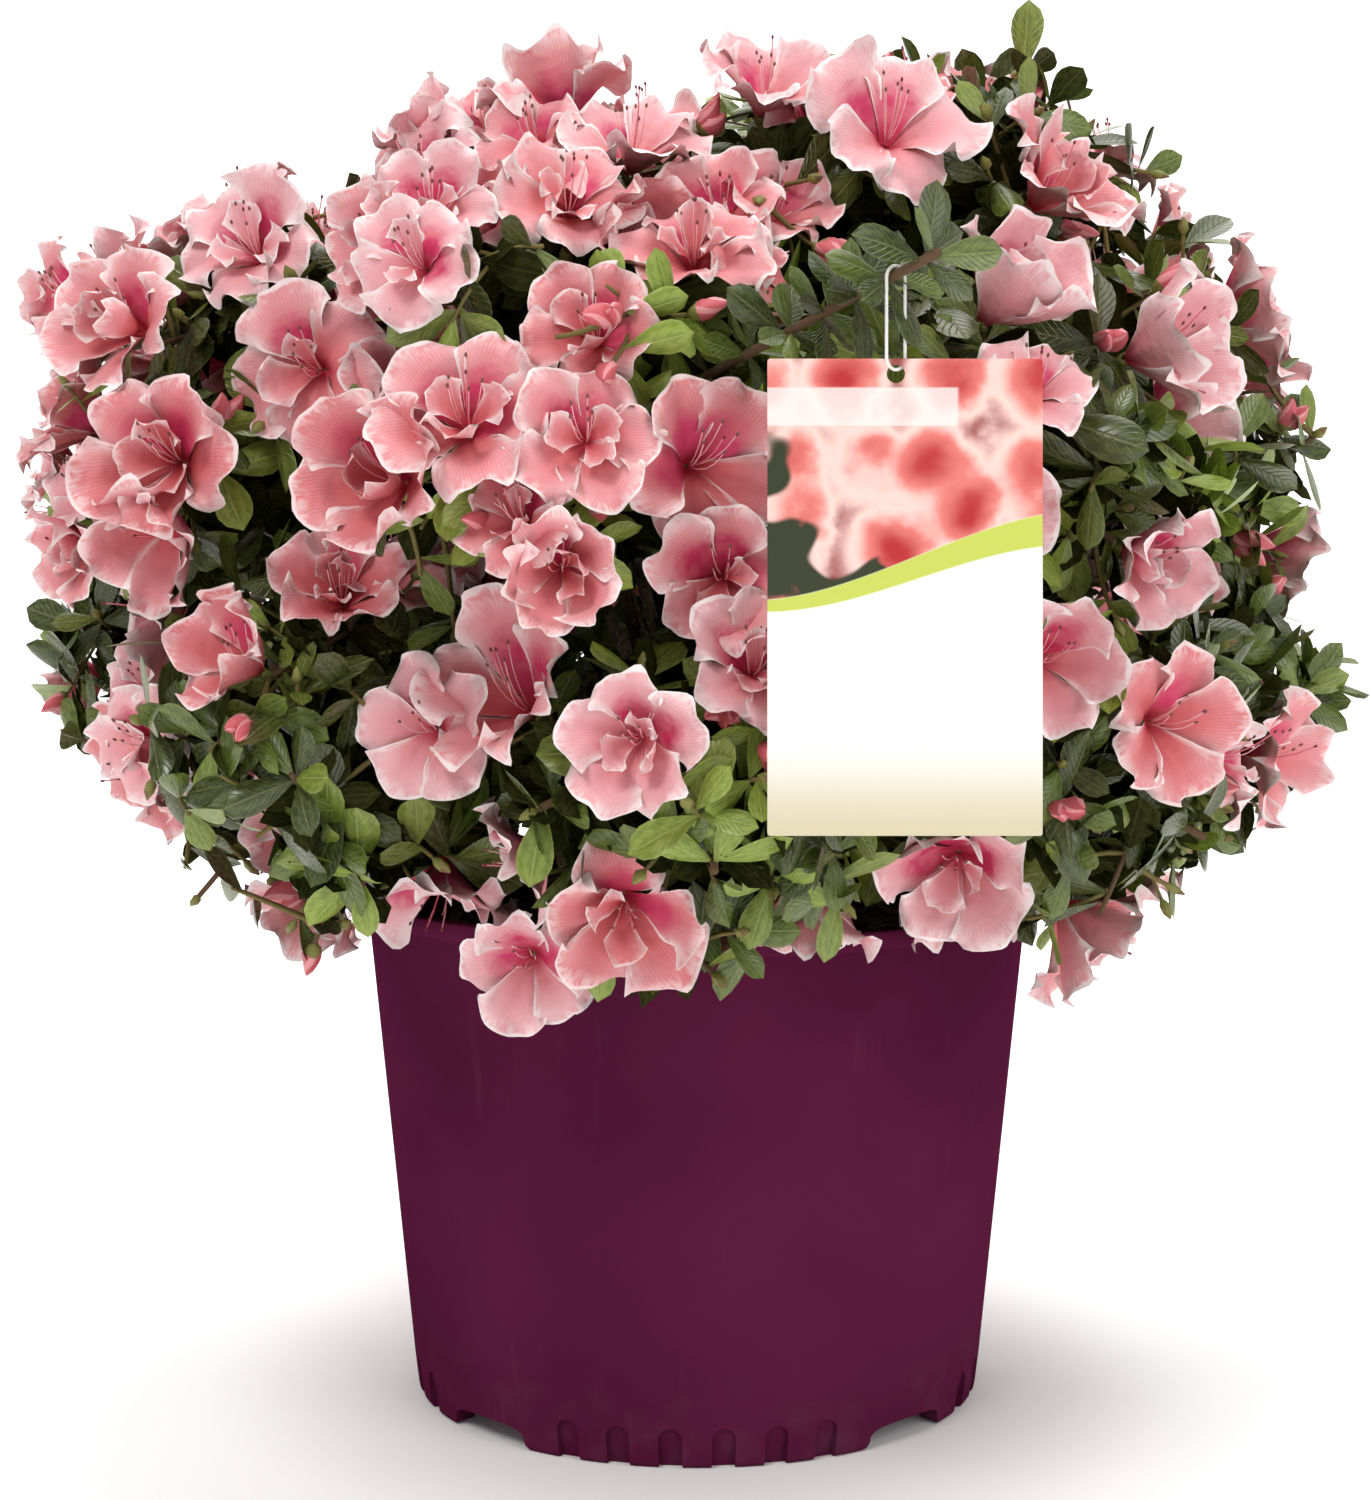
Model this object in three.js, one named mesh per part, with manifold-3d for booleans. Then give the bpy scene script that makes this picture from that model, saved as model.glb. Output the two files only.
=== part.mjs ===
// An evergreen azalea in full bloom, standing in the plastic nursery pot that it was grown in.
// Lengths are in millimetres and angles in degrees. +Z is up, the origin is the middle of the pot's
// flat underside, and the front of the plant looks along -Y. A turn is measured round the pot from
// the front towards +X.

import * as THREE from 'three';
import { mergeVertices } from 'three/addons/utils/BufferGeometryUtils.js';
import Module from 'manifold-3d';

const wasm = await Module();
wasm.setup();

// Pot: a thin tapered shell with a rolled lip, four broad feet and a ring-shaped drain channel
const POT_HEIGHT = 208;
const POT_TOP_RADIUS = 140;
const POT_FOOT_RADIUS = 118;
const POT_WALL = 2.5;
const POT_SIDES = 36;
const LIP_HEIGHT = 7;
const LIP_REACH = 2;
const FOOT_BEVEL = 2.5;
const FOOT_RING_WIDTH = 10;
const CHANNEL_HEIGHT = 9.5;
const CHANNEL_INNER_RADIUS = 78;
const CHANNEL_SLOPE = 8;
const FOOT_COUNT = 4;
const NOTCH_TURN = 20;
const NOTCH_HEIGHT = 8.8;
const FLUTES_PER_FOOT = 6;
const FLUTE_PITCH_TURN = 10;
const FLUTE_WIDTH = 7.5;
const FLUTE_HEIGHT = 15;
const FLUTE_DEPTH = 1.5;

// Potting mix, filled to a little under the rim. Pieces that touch keep the seat gap between them.
const MIX_TOP = 188;
const SEAT_GAP = 0.3;

// Main stem: a root flare, a short neck and a knuckle that the boughs leave from
const FLARE_RADIUS = 23;
const NECK_RADIUS = 13;
const NECK_HEIGHT = 18;
const KNUCKLE_RADIUS = 18;
const KNUCKLE_HEIGHT = 227;
const KNUCKLE_LOWEST_TURN = -50;
const KNUCKLE_TURN_STEP = 20;
const STEM_SIDES = 12;

// Crown: three tiers of rounded masses. A tier's reach and height place the middles of its masses,
// and its lean lifts them on the right and lowers them on the left. Its rise is the angle at which
// its boughs leave the knuckle.
const TIERS = [
  { name: 'skirt', count: 8, reach: 188, height: 284, radius: 80, lean: 0, shift: -4, turn: 0, rise: 4 },
  { name: 'shoulder', count: 7, reach: 172, height: 394, radius: 96, lean: -5, shift: -8, turn: -114, rise: 35 },
  { name: 'crown', count: 5, reach: 94, height: 446, radius: 98, lean: 15, shift: 14, turn: 108, rise: 65 },
];
const DEPTH_SHARE = 0.95;
const HEART_HEIGHT = 330;
const UNDERSIDE_HEIGHT = 180;
const UNDERSIDE_RADIUS = 190;
const UNDERSIDE_SLOPE = 1.1;
const RIM_CLEARANCE = 3;

// Boughs
const BOUGH_FOOT_RADIUS = 3.6;
const BOUGH_TIP_RADIUS = 2.3;
const BOUGH_RINGS = 6;
const BOUGH_SIDES = 5;
const BOUGH_SAG = 0.34;
const BOUGH_STOP = 14;
const BOUGH_FOOT_GAP = 0.35;

// Masses of foliage. Each mass has a dense heart, long leaders and short side shoots. The tips stand
// on a golden spiral round the mass, and those that face the heart of the crown are left out.
const SEED = 234;
const CORE_SHARE = 0.56;
const SHOOTS_PER_BALL = 30;
const GOLDEN_TURN = 137.508;
const TIP_REACH_LEAST = 0.93;
const TIP_REACH_RANGE = 0.1;
const TIP_OUTWARD_LEAST = 0.1;
const LEADER_EVERY = 3;
const LEADER_FOOT_RADIUS = 2.6;
const LEADER_TIP_RADIUS = 1.6;
const SIDE_FOOT_RADIUS = 1.4;
const SIDE_TIP_RADIUS = 1.2;
const SIDES_PER_LEADER = 3;
const SIDE_START = 6;
const SIDE_PITCH = 5;
const SIDE_REACH = 70;
const SPACE_GAP = 1.2;
const LIMB_GAP = 1.5;
const LEAF_LENGTH = 50;
const LEAF_LENGTH_LEAST = 0.85;
const LEAF_LENGTH_RANGE = 0.3;
const LEAF_WIDTH_SHARE = 0.5;
const LEAF_WIDEST_AT = 0.56;
const LEAF_THICKNESS = 1.6;
const LEAF_SPACING = 2.4;
const LEAF_SPREAD = 56;
const LEAF_SPREAD_RANGE = 22;
const LEAF_TURN_RANGE = 30;
const BLOOM_LEAF_SPREAD = 74;
const LEAVES_PER_SHOOT = 3;
const LEAVES_PER_BLOOM = 1;

// Blooms: five broad petals round a short funnel. Depths and rims are shares of a bloom's radius.
const PETALS = 5;
const BLOOM_RADIUS_LARGE = 35;
const BLOOM_RADIUS_SMALL = 24;
const BLOOM_SIZE_POWER = 0.6;
const BLOOM_SHRINK_STEP = 2;
const BLOOM_CROWDING = 0.88;
const BLOOM_ROOM = 1.04;
const BLOOM_OUTWARD_SHARE = 0.4;
const PETAL_HALF_TURN = 14;
const PETAL_TIP_LIFT = 0.02;
const PETAL_NOTCH_RADIUS = 0.82;
const PETAL_NOTCH_DEPTH = 0.08;
const THROAT_DEPTH = 0.42;
const STALK_DEPTH = 0.66;
const BLOOM_LEAF_DEPTH = 0.45;
const BASE_DEPTH = 0.98;
const BLOOM_TILT = 26;
const BLOOM_SHARE = 0.5;
const FLUSH_SHARE = 0.5;
const FLUSH_POWER = 3;
const FLUSH_TOWARDS = new THREE.Vector3(-0.62, -0.3, 0.72);

// Card tag, hung in front of the crown on a closed loop of thin plastic that goes round one shoot
const TAG_WIDTH = 90;
const TAG_HEIGHT = 156;
const TAG_THICKNESS = 1;
const TAG_CORNER = 2.5;
const TAG_HOLE_RADIUS = 3;
const TAG_HOLE_INSET = 5;
const TAG_HOLE_ASIDE = -3;
const TAG_MIDDLE_X = 68;
const TAG_TOP = 420;
const TAG_FRONT = -280;
const TAG_CLEARANCE = 4;
const TAG_MASS = 'shoulder_3';
const LOOP_WIRE_RADIUS = 0.8;
const LOOP_HALF_WIDTH = 4.2;
const LOOP_HEIGHT = 34;
const LOOP_TURN = 40;
const LOOP_SIDES = 5;
const LOOP_BEND_STEPS = 8;
const TAG_SHOOT_RADIUS = 1.8;
const TAG_SHOOT_BEYOND = 20;

const RADIANS = Math.PI / 180;
const UP = new THREE.Vector3(0, 0, 1);

const vector = (x, y, z) => new THREE.Vector3(x, y, z);
const mix = (a, b, share) => a.clone().lerp(b, share);
const step = (from, direction, length) => from.clone().addScaledVector(direction, length);
const aim = (from, to) => to.clone().sub(from).normalize();

// The direction at a turn round the pot and a rise above the level
function heading(turn, rise = 0) {
  const level = Math.cos(rise * RADIANS);
  return vector(
    Math.sin(turn * RADIANS) * level,
    -Math.cos(turn * RADIANS) * level,
    Math.sin(rise * RADIANS),
  );
}

// Two directions square to an axis and to each other
function sideways(axis) {
  const reference = Math.abs(axis.z) < 0.9 ? UP : vector(1, 0, 0);
  const across = new THREE.Vector3().crossVectors(reference, axis).normalize();
  return [across, new THREE.Vector3().crossVectors(axis, across)];
}

// A seeded run of numbers from 0 to 1, the same on every machine
function seededNumbers(seed) {
  let state = seed;
  const draw = () => {
    state = (state * 48271) % 2147483647;
    return state / 2147483647;
  };
  draw();
  draw();
  draw();
  return draw;
}

// The distance from a point to the straight line between two others
function distanceToLine(point, from, to) {
  const nearest = new THREE.Line3(from, to).closestPointToPoint(point, true, vector(0, 0, 0));
  return nearest.distanceTo(point);
}

// A mesh body from its corners and its triangles
function body(corners, triangles) {
  const geometry = new THREE.BufferGeometry();
  const places = corners.flatMap((corner) => corner.toArray());
  geometry.setAttribute('position', new THREE.Float32BufferAttribute(places, 3));
  geometry.setIndex(triangles.flat());
  return geometry;
}

function toSolid(geometry) {
  const bare = geometry.clone();
  bare.deleteAttribute('normal');
  bare.deleteAttribute('uv');
  const merged = mergeVertices(bare, 1e-4);
  return new wasm.Manifold(new wasm.Mesh({
    numProp: 3,
    vertProperties: new Float32Array(merged.attributes.position.array),
    triVerts: new Uint32Array(merged.index.array),
  }));
}

function toGeometry(solid) {
  const mesh = solid.getMesh();
  const geometry = new THREE.BufferGeometry();
  geometry.setAttribute('position', new THREE.BufferAttribute(mesh.vertProperties, 3));
  geometry.setIndex(new THREE.BufferAttribute(mesh.triVerts, 1));
  return geometry;
}

// Joins many bodies into one and keeps its largest piece, without loose scraps or sealed hollows
function fuse(geometries) {
  const joined = wasm.Manifold.union(geometries.map(toSolid));
  const pieces = joined.decompose();
  pieces.sort((a, b) => b.volume() - a.volume());
  return toGeometry(pieces[0]);
}

function part(name, geometry, colour, roughness, metalness = 0) {
  const faceted = geometry.index ? geometry.toNonIndexed() : geometry;
  faceted.computeVertexNormals();
  const mesh = new THREE.Mesh(
    faceted,
    new THREE.MeshStandardMaterial({ color: colour, roughness, metalness }),
  );
  mesh.name = name;
  return mesh;
}

// A body of revolution about +Z from a profile of radius and height
function turned(profile, sides) {
  const points = profile.map(([radius, height]) => new THREE.Vector2(radius, height));
  return new THREE.LatheGeometry(points, sides).rotateX(Math.PI / 2);
}

// A limb with flat ends, whose radius changes from point to point, or a ring that closes on itself
function limb(points, radii, sides, isRing = false) {
  const corners = [];
  const triangles = [];
  let [across] = sideways(aim(points[0], points[1]));
  points.forEach((point, ring) => {
    const before = isRing ? points.at(ring - 1) : points[Math.max(ring - 1, 0)];
    const after = isRing
      ? points[(ring + 1) % points.length]
      : points[Math.min(ring + 1, points.length - 1)];
    const along = aim(before, after);
    across = across.clone().addScaledVector(along, -across.dot(along)).normalize();
    const upwards = new THREE.Vector3().crossVectors(along, across);
    for (let side = 0; side < sides; side += 1) {
      const angle = (side / sides) * 2 * Math.PI;
      const edge = step(point, across, Math.cos(angle) * radii[ring]);
      corners.push(edge.addScaledVector(upwards, Math.sin(angle) * radii[ring]));
    }
  });
  const spans = isRing ? points.length : points.length - 1;
  for (let ring = 0; ring < spans; ring += 1) {
    const ahead = ((ring + 1) % points.length) * sides;
    for (let side = 0; side < sides; side += 1) {
      const turn = (side + 1) % sides;
      const here = ring * sides;
      triangles.push([here + side, here + turn, ahead + side], [here + turn, ahead + turn, ahead + side]);
    }
  }
  const last = (points.length - 1) * sides;
  for (let side = 1; side < sides - 1 && !isRing; side += 1) {
    triangles.push([0, side + 1, side], [last, last + side, last + side + 1]);
  }
  return body(corners, triangles);
}

// Pot

function potRadius(height) {
  return POT_FOOT_RADIUS + (POT_TOP_RADIUS - POT_FOOT_RADIUS) * (height / POT_HEIGHT);
}

// An arched cutter that stands at a turn round the pot and reaches in from outside the wall
function archCutter(turn, halfWidth, height, innerRadius) {
  const arch = new THREE.Shape();
  const shoulder = Math.max(height - halfWidth, height * 0.35);
  arch.moveTo(-halfWidth, -1);
  arch.lineTo(halfWidth, -1);
  arch.lineTo(halfWidth, shoulder);
  for (let corner = 1; corner < 3; corner += 1) {
    const angle = (corner / 3) * Math.PI;
    arch.lineTo(Math.cos(angle) * halfWidth, shoulder + Math.sin(angle) * (height - shoulder));
  }
  arch.lineTo(-halfWidth, shoulder);
  const depth = POT_TOP_RADIUS - innerRadius;
  const cutter = new THREE.ExtrudeGeometry(arch, { depth, bevelEnabled: false, steps: 1 });
  cutter.rotateX(Math.PI / 2);
  cutter.translate(0, -innerRadius, 0);
  cutter.rotateZ(turn * RADIANS);
  return cutter;
}

function nurseryPot() {
  const lipFoot = POT_HEIGHT - LIP_HEIGHT;
  const ringInner = POT_FOOT_RADIUS - FOOT_RING_WIDTH;
  const channelFloor = CHANNEL_HEIGHT + POT_WALL;
  let pot = toSolid(turned([
    [0, 0],
    [CHANNEL_INNER_RADIUS - CHANNEL_SLOPE, 0],
    [CHANNEL_INNER_RADIUS, CHANNEL_HEIGHT],
    [ringInner, CHANNEL_HEIGHT],
    [ringInner, 0],
    [POT_FOOT_RADIUS - FOOT_BEVEL, 0],
    [potRadius(FOOT_BEVEL), FOOT_BEVEL],
    [potRadius(lipFoot), lipFoot],
    [potRadius(lipFoot) + LIP_REACH, lipFoot + LIP_REACH],
    [POT_TOP_RADIUS + LIP_REACH, POT_HEIGHT],
    [POT_TOP_RADIUS - POT_WALL, POT_HEIGHT],
    [potRadius(channelFloor) - POT_WALL, channelFloor],
    [CHANNEL_INNER_RADIUS - POT_WALL, channelFloor],
    [CHANNEL_INNER_RADIUS - CHANNEL_SLOPE, POT_WALL],
    [0, POT_WALL],
  ], POT_SIDES));
  const cutters = [];
  for (let foot = 0; foot < FOOT_COUNT; foot += 1) {
    const footTurn = (foot * 360) / FOOT_COUNT;
    const notchTurn = footTurn + 180 / FOOT_COUNT;
    const notchHalfWidth = POT_FOOT_RADIUS * Math.sin((NOTCH_TURN / 2) * RADIANS);
    cutters.push(archCutter(notchTurn, notchHalfWidth, NOTCH_HEIGHT, ringInner - FOOT_RING_WIDTH));
    for (let flute = 0; flute < FLUTES_PER_FOOT; flute += 1) {
      const fluteTurn = footTurn + (flute - (FLUTES_PER_FOOT - 1) / 2) * FLUTE_PITCH_TURN;
      cutters.push(archCutter(fluteTurn, FLUTE_WIDTH / 2, FLUTE_HEIGHT, POT_FOOT_RADIUS - FLUTE_DEPTH));
    }
  }
  pot = pot.subtract(wasm.Manifold.union(cutters.map(toSolid)));
  return part('nursery_pot', toGeometry(pot), 0x5a1e40, 0.42);
}

function pottingMix() {
  const channelFloor = CHANNEL_HEIGHT + POT_WALL + SEAT_GAP;
  const inside = (height) => potRadius(height) - POT_WALL - 2 * SEAT_GAP;
  const profile = [
    [0, POT_WALL + SEAT_GAP],
    [CHANNEL_INNER_RADIUS - CHANNEL_SLOPE - 2 * SEAT_GAP, POT_WALL + SEAT_GAP],
    [CHANNEL_INNER_RADIUS - POT_WALL - 2 * SEAT_GAP, channelFloor],
    [inside(channelFloor), channelFloor],
    [inside(MIX_TOP), MIX_TOP],
    [0, MIX_TOP],
  ];
  return part('potting_mix', turned(profile, POT_SIDES), 0x3a2a20, 0.95);
}

// Stem and boughs

function mainStem() {
  const foot = MIX_TOP + SEAT_GAP;
  const profile = [
    [0, foot],
    [FLARE_RADIUS, foot],
    [(FLARE_RADIUS + NECK_RADIUS) / 2, foot + NECK_HEIGHT * 0.3],
    [NECK_RADIUS, foot + NECK_HEIGHT],
  ];
  for (let angle = KNUCKLE_LOWEST_TURN; angle < 90; angle += KNUCKLE_TURN_STEP) {
    profile.push([
      Math.cos(angle * RADIANS) * KNUCKLE_RADIUS,
      KNUCKLE_HEIGHT + Math.sin(angle * RADIANS) * KNUCKLE_RADIUS,
    ]);
  }
  profile.push([0, KNUCKLE_HEIGHT + KNUCKLE_RADIUS]);
  return part('main_stem', turned(profile, STEM_SIDES), 0x6b5443, 0.85);
}

const KNUCKLE = vector(0, 0, KNUCKLE_HEIGHT);
const HEART = vector(0, 0, HEART_HEIGHT);

// The places of the masses, each a ball that holds its own part of the crown
function placeMasses() {
  const masses = [];
  TIERS.forEach((tier) => {
    for (let place = 0; place < tier.count; place += 1) {
      const turn = tier.turn + (place * 360) / tier.count;
      const outward = heading(turn);
      const middle = vector(
        outward.x * tier.reach + tier.shift,
        outward.y * tier.reach * DEPTH_SHARE,
        tier.height + outward.x * tier.lean,
      );
      const label = `${tier.name}_${place + 1}`;
      masses.push({ label, tier, turn, middle, radius: tier.radius, index: masses.length });
    }
  });
  return masses;
}

const MASSES = placeMasses();

// One bough leaves the knuckle squarely, bends up and stops short of the middle of its mass
function routeBough(mass) {
  const leaving = heading(mass.turn, mass.tier.rise);
  const foot = step(KNUCKLE, leaving, KNUCKLE_RADIUS + BOUGH_FOOT_GAP);
  const inward = aim(mass.middle, KNUCKLE);
  const tip = step(mass.middle, inward, CORE_SHARE * mass.radius + BOUGH_STOP);
  const bend = step(foot, leaving, foot.distanceTo(tip) * BOUGH_SAG);
  const curve = new THREE.QuadraticBezierCurve3(foot, bend, tip);
  const points = curve.getPoints(BOUGH_RINGS - 1);
  const radii = points.map((_, ring) => THREE.MathUtils.lerp(
    BOUGH_FOOT_RADIUS,
    BOUGH_TIP_RADIUS,
    ring / (BOUGH_RINGS - 1),
  ));
  return { points, radii };
}

const BOUGHS = MASSES.map(routeBough);

// Foliage: where the shoots and blooms stand

// A place belongs to the mass whose ball it lies deepest in, by a margin
function staysInSpace(point, mass, margin) {
  const depth = point.distanceToSquared(mass.middle) - mass.radius ** 2;
  return MASSES.every((other) => {
    if (other === mass) return true;
    const otherDepth = point.distanceToSquared(other.middle) - other.radius ** 2;
    return otherDepth - depth > 2 * margin * mass.middle.distanceTo(other.middle);
  });
}

// Nothing of the plant touches the pot, hangs below the crown's skirt or meets the tag
function missesPotAndTag(point) {
  const fromAxis = Math.hypot(point.x, point.y);
  const underside = UNDERSIDE_HEIGHT + UNDERSIDE_SLOPE * Math.max(0, fromAxis - UNDERSIDE_RADIUS);
  const overRim = point.z > POT_HEIGHT + RIM_CLEARANCE;
  const outsideRim = fromAxis > POT_TOP_RADIUS + LIP_REACH + RIM_CLEARANCE;
  if (point.z < underside || !(overRim || outsideRim)) return false;
  const besideTag = Math.abs(point.x - TAG_MIDDLE_X) > TAG_WIDTH / 2 + TAG_CLEARANCE;
  const overTag = point.z > TAG_TOP + TAG_CLEARANCE;
  const underTag = point.z < TAG_TOP - TAG_HEIGHT - TAG_CLEARANCE;
  return besideTag || overTag || underTag || point.y > TAG_FRONT + TAG_THICKNESS + TAG_CLEARANCE;
}

// The loop's lowest and highest points, and the long shoot that it hangs from
const LOOP_FOOT = vector(
  TAG_MIDDLE_X + TAG_HOLE_ASIDE,
  TAG_FRONT + TAG_THICKNESS / 2,
  TAG_TOP - TAG_HOLE_INSET + TAG_HOLE_RADIUS - 2 * LOOP_WIRE_RADIUS,
);
const LOOP_HEAD = step(LOOP_FOOT, UP, LOOP_HEIGHT);
const TAG_SHOOT_FOOT = MASSES.find((mass) => mass.label === TAG_MASS).middle;
const TAG_SHOOT_SLOPE = TAG_SHOOT_FOOT.clone().sub(LOOP_HEAD).angleTo(UP);
const HOOK_DROP = LOOP_WIRE_RADIUS + SEAT_GAP + TAG_SHOOT_RADIUS / Math.sin(TAG_SHOOT_SLOPE);
const HOOK = step(LOOP_HEAD, UP, -HOOK_DROP);
const TAG_SHOOT_TIP = step(HOOK, aim(TAG_SHOOT_FOOT, HOOK), TAG_SHOOT_BEYOND);

function missesLimbs(point, ownRadius) {
  const clear = (points) => points.every((place, ring) => {
    if (ring === 0) return true;
    const room = BOUGH_FOOT_RADIUS + ownRadius + LIMB_GAP;
    return distanceToLine(point, points[ring - 1], place) > room;
  });
  const fromLoop = distanceToLine(point, LOOP_FOOT, LOOP_HEAD) - LOOP_HALF_WIDTH - LOOP_WIRE_RADIUS;
  const fromTagShoot = distanceToLine(point, mix(TAG_SHOOT_FOOT, TAG_SHOOT_TIP, 0.6), TAG_SHOOT_TIP);
  return fromLoop > ownRadius + LIMB_GAP
    && fromTagShoot > ownRadius + LIMB_GAP
    && BOUGHS.every((bough) => clear(bough.points));
}

// The tips of a mass's shoots: a golden spiral round its ball, where that ball makes the crown's skin
function placeTips(mass) {
  const tips = [];
  for (let place = 0; place < SHOOTS_PER_BALL; place += 1) {
    const draw = seededNumbers(SEED * 100003 + mass.index * 7919 + place * 271);
    const rise = Math.asin(1 - (2 * (place + 0.5)) / SHOOTS_PER_BALL) / RADIANS;
    const outward = heading(place * GOLDEN_TURN + mass.turn, rise);
    const reach = mass.radius * (TIP_REACH_LEAST + TIP_REACH_RANGE * draw());
    const tip = step(mass.middle, outward, reach);
    const fromHeart = aim(HEART, tip);
    const facesOut = outward.dot(fromHeart) > TIP_OUTWARD_LEAST;
    if (facesOut && staysInSpace(tip, mass, 3 * SPACE_GAP) && missesPotAndTag(tip)) {
      tips.push({ mass, place, tip, outward, fromHeart, draw });
    }
  }
  return tips;
}

const SHOOTS = MASSES.flatMap(placeTips);

// The rim of a bloom needs room all round
function hasRoom(centre, facing, radius) {
  const [across, over] = sideways(facing);
  return [0, 60, 120, 180, 240, 300].every((angle) => {
    const edge = step(centre, across, radius * Math.cos(angle * RADIANS));
    edge.addScaledVector(over, radius * Math.sin(angle * RADIANS));
    return missesPotAndTag(edge) && missesLimbs(edge, 0);
  });
}

// A bloom opens on a share of the tips, most of all on the side that is in full flush, as wide as
// the blooms round it leave room for. Blooms of one mass may crowd, those of two masses never touch.
function openBlooms(shoots) {
  const open = [];
  shoots.forEach((shoot) => {
    const flush = Math.max(0, shoot.fromHeart.dot(FLUSH_TOWARDS)) ** FLUSH_POWER;
    const wanted = shoot.draw() < BLOOM_SHARE + FLUSH_SHARE * flush;
    const size = shoot.draw() ** BLOOM_SIZE_POWER;
    let radius = THREE.MathUtils.lerp(BLOOM_RADIUS_SMALL, BLOOM_RADIUS_LARGE, size);
    const [across, over] = sideways(shoot.outward);
    const tilt = Math.tan(BLOOM_TILT * RADIANS) * shoot.draw();
    const spin = 2 * Math.PI * shoot.draw();
    const facing = mix(shoot.outward, shoot.fromHeart, BLOOM_OUTWARD_SHARE)
      .addScaledVector(across, tilt * Math.cos(spin))
      .addScaledVector(over, tilt * Math.sin(spin))
      .normalize();
    open.forEach((bloom) => {
      const between = bloom.shoot.tip.distanceTo(shoot.tip);
      const room = bloom.shoot.mass === shoot.mass
        ? between / BLOOM_CROWDING - bloom.radius
        : between - bloom.radius - SPACE_GAP;
      radius = Math.min(radius, room);
    });
    while (wanted && radius > BLOOM_RADIUS_SMALL && !hasRoom(shoot.tip, facing, radius)) {
      radius -= BLOOM_SHRINK_STEP;
    }
    if (wanted && radius > BLOOM_RADIUS_SMALL) {
      const bloom = { shoot, radius, facing, spin: 360 * shoot.draw() };
      shoot.bloom = bloom;
      open.push(bloom);
    }
  });
  return open;
}

const BLOOMS = openBlooms(SHOOTS);

// A line with some width misses the other blooms: those of other masses by their whole ball, those
// of its own mass by the cone that a bloom fills from its rim back to its base
function missesBlooms(from, to, width, shoot) {
  return BLOOMS.every((bloom) => {
    if (bloom === shoot.bloom) return true;
    const room = bloom.radius * BLOOM_ROOM + width + SPACE_GAP;
    if (distanceToLine(bloom.shoot.tip, from, to) > room) return true;
    if (bloom.shoot.mass !== shoot.mass) return false;
    return [0, 0.25, 0.5, 0.75, 1].every((share) => {
      const offset = mix(from, to, share).sub(bloom.shoot.tip);
      const depth = -offset.dot(bloom.facing);
      const fromMiddle = Math.sqrt(Math.max(0, offset.lengthSq() - depth * depth));
      return depth < -width || depth > bloom.radius || fromMiddle > bloom.radius - depth + width;
    });
  });
}

// A leaf is a diamond with a raised middle: root, tip, two sides and two faces
function leaf(root, along, upper, length) {
  const across = new THREE.Vector3().crossVectors(along, upper).normalize();
  const widest = step(root, along, length * LEAF_WIDEST_AT);
  const halfWidth = (length * LEAF_WIDTH_SHARE) / 2;
  const corners = [
    root,
    step(root, along, length),
    step(widest, across, halfWidth),
    step(widest, across, -halfWidth),
    step(widest, upper, LEAF_THICKNESS / 2),
    step(widest, upper, -LEAF_THICKNESS / 2),
  ];
  const triangles = [
    [0, 2, 4], [2, 1, 4], [1, 3, 4], [3, 0, 4],
    [2, 0, 5], [1, 2, 5], [3, 1, 5], [0, 3, 5],
  ];
  return { corners, geometry: body(corners, triangles) };
}

// A whorl of leaves round the end of a shoot
function whorl(shoot, base, along, count) {
  const leaves = [];
  const [across, over] = sideways(along);
  const start = shoot.draw() * 360;
  for (let place = 0; place < count; place += 1) {
    const angle = (start + (place * 360) / count + LEAF_TURN_RANGE * (shoot.draw() - 0.5)) * RADIANS;
    const spread = shoot.bloom ? BLOOM_LEAF_SPREAD : LEAF_SPREAD + LEAF_SPREAD_RANGE * shoot.draw();
    const pitch = spread * RADIANS;
    const length = LEAF_LENGTH * (LEAF_LENGTH_LEAST + LEAF_LENGTH_RANGE * shoot.draw());
    const side = across.clone().multiplyScalar(Math.cos(angle)).addScaledVector(over, Math.sin(angle));
    const pointing = along.clone().multiplyScalar(Math.cos(pitch)).addScaledVector(side, Math.sin(pitch));
    const upper = along.clone().multiplyScalar(Math.sin(pitch)).addScaledVector(side, -Math.cos(pitch));
    const root = step(base, along, -LEAF_SPACING * place);
    const blade = leaf(root, pointing, upper, length);
    const kept = blade.corners.every((corner, index) => (
      index === 0 || (staysInSpace(corner, shoot.mass, SPACE_GAP) && missesPotAndTag(corner))
    ));
    const middle = step(root, pointing, length * 0.6);
    const halfWidth = (length * LEAF_WIDTH_SHARE) / 2;
    const misses = missesLimbs(middle, halfWidth) && missesLimbs(blade.corners[1], 1)
      && missesBlooms(root, blade.corners[1], halfWidth * 0.7, shoot);
    if (kept && misses) leaves.push(blade.geometry);
  }
  return leaves;
}

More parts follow.
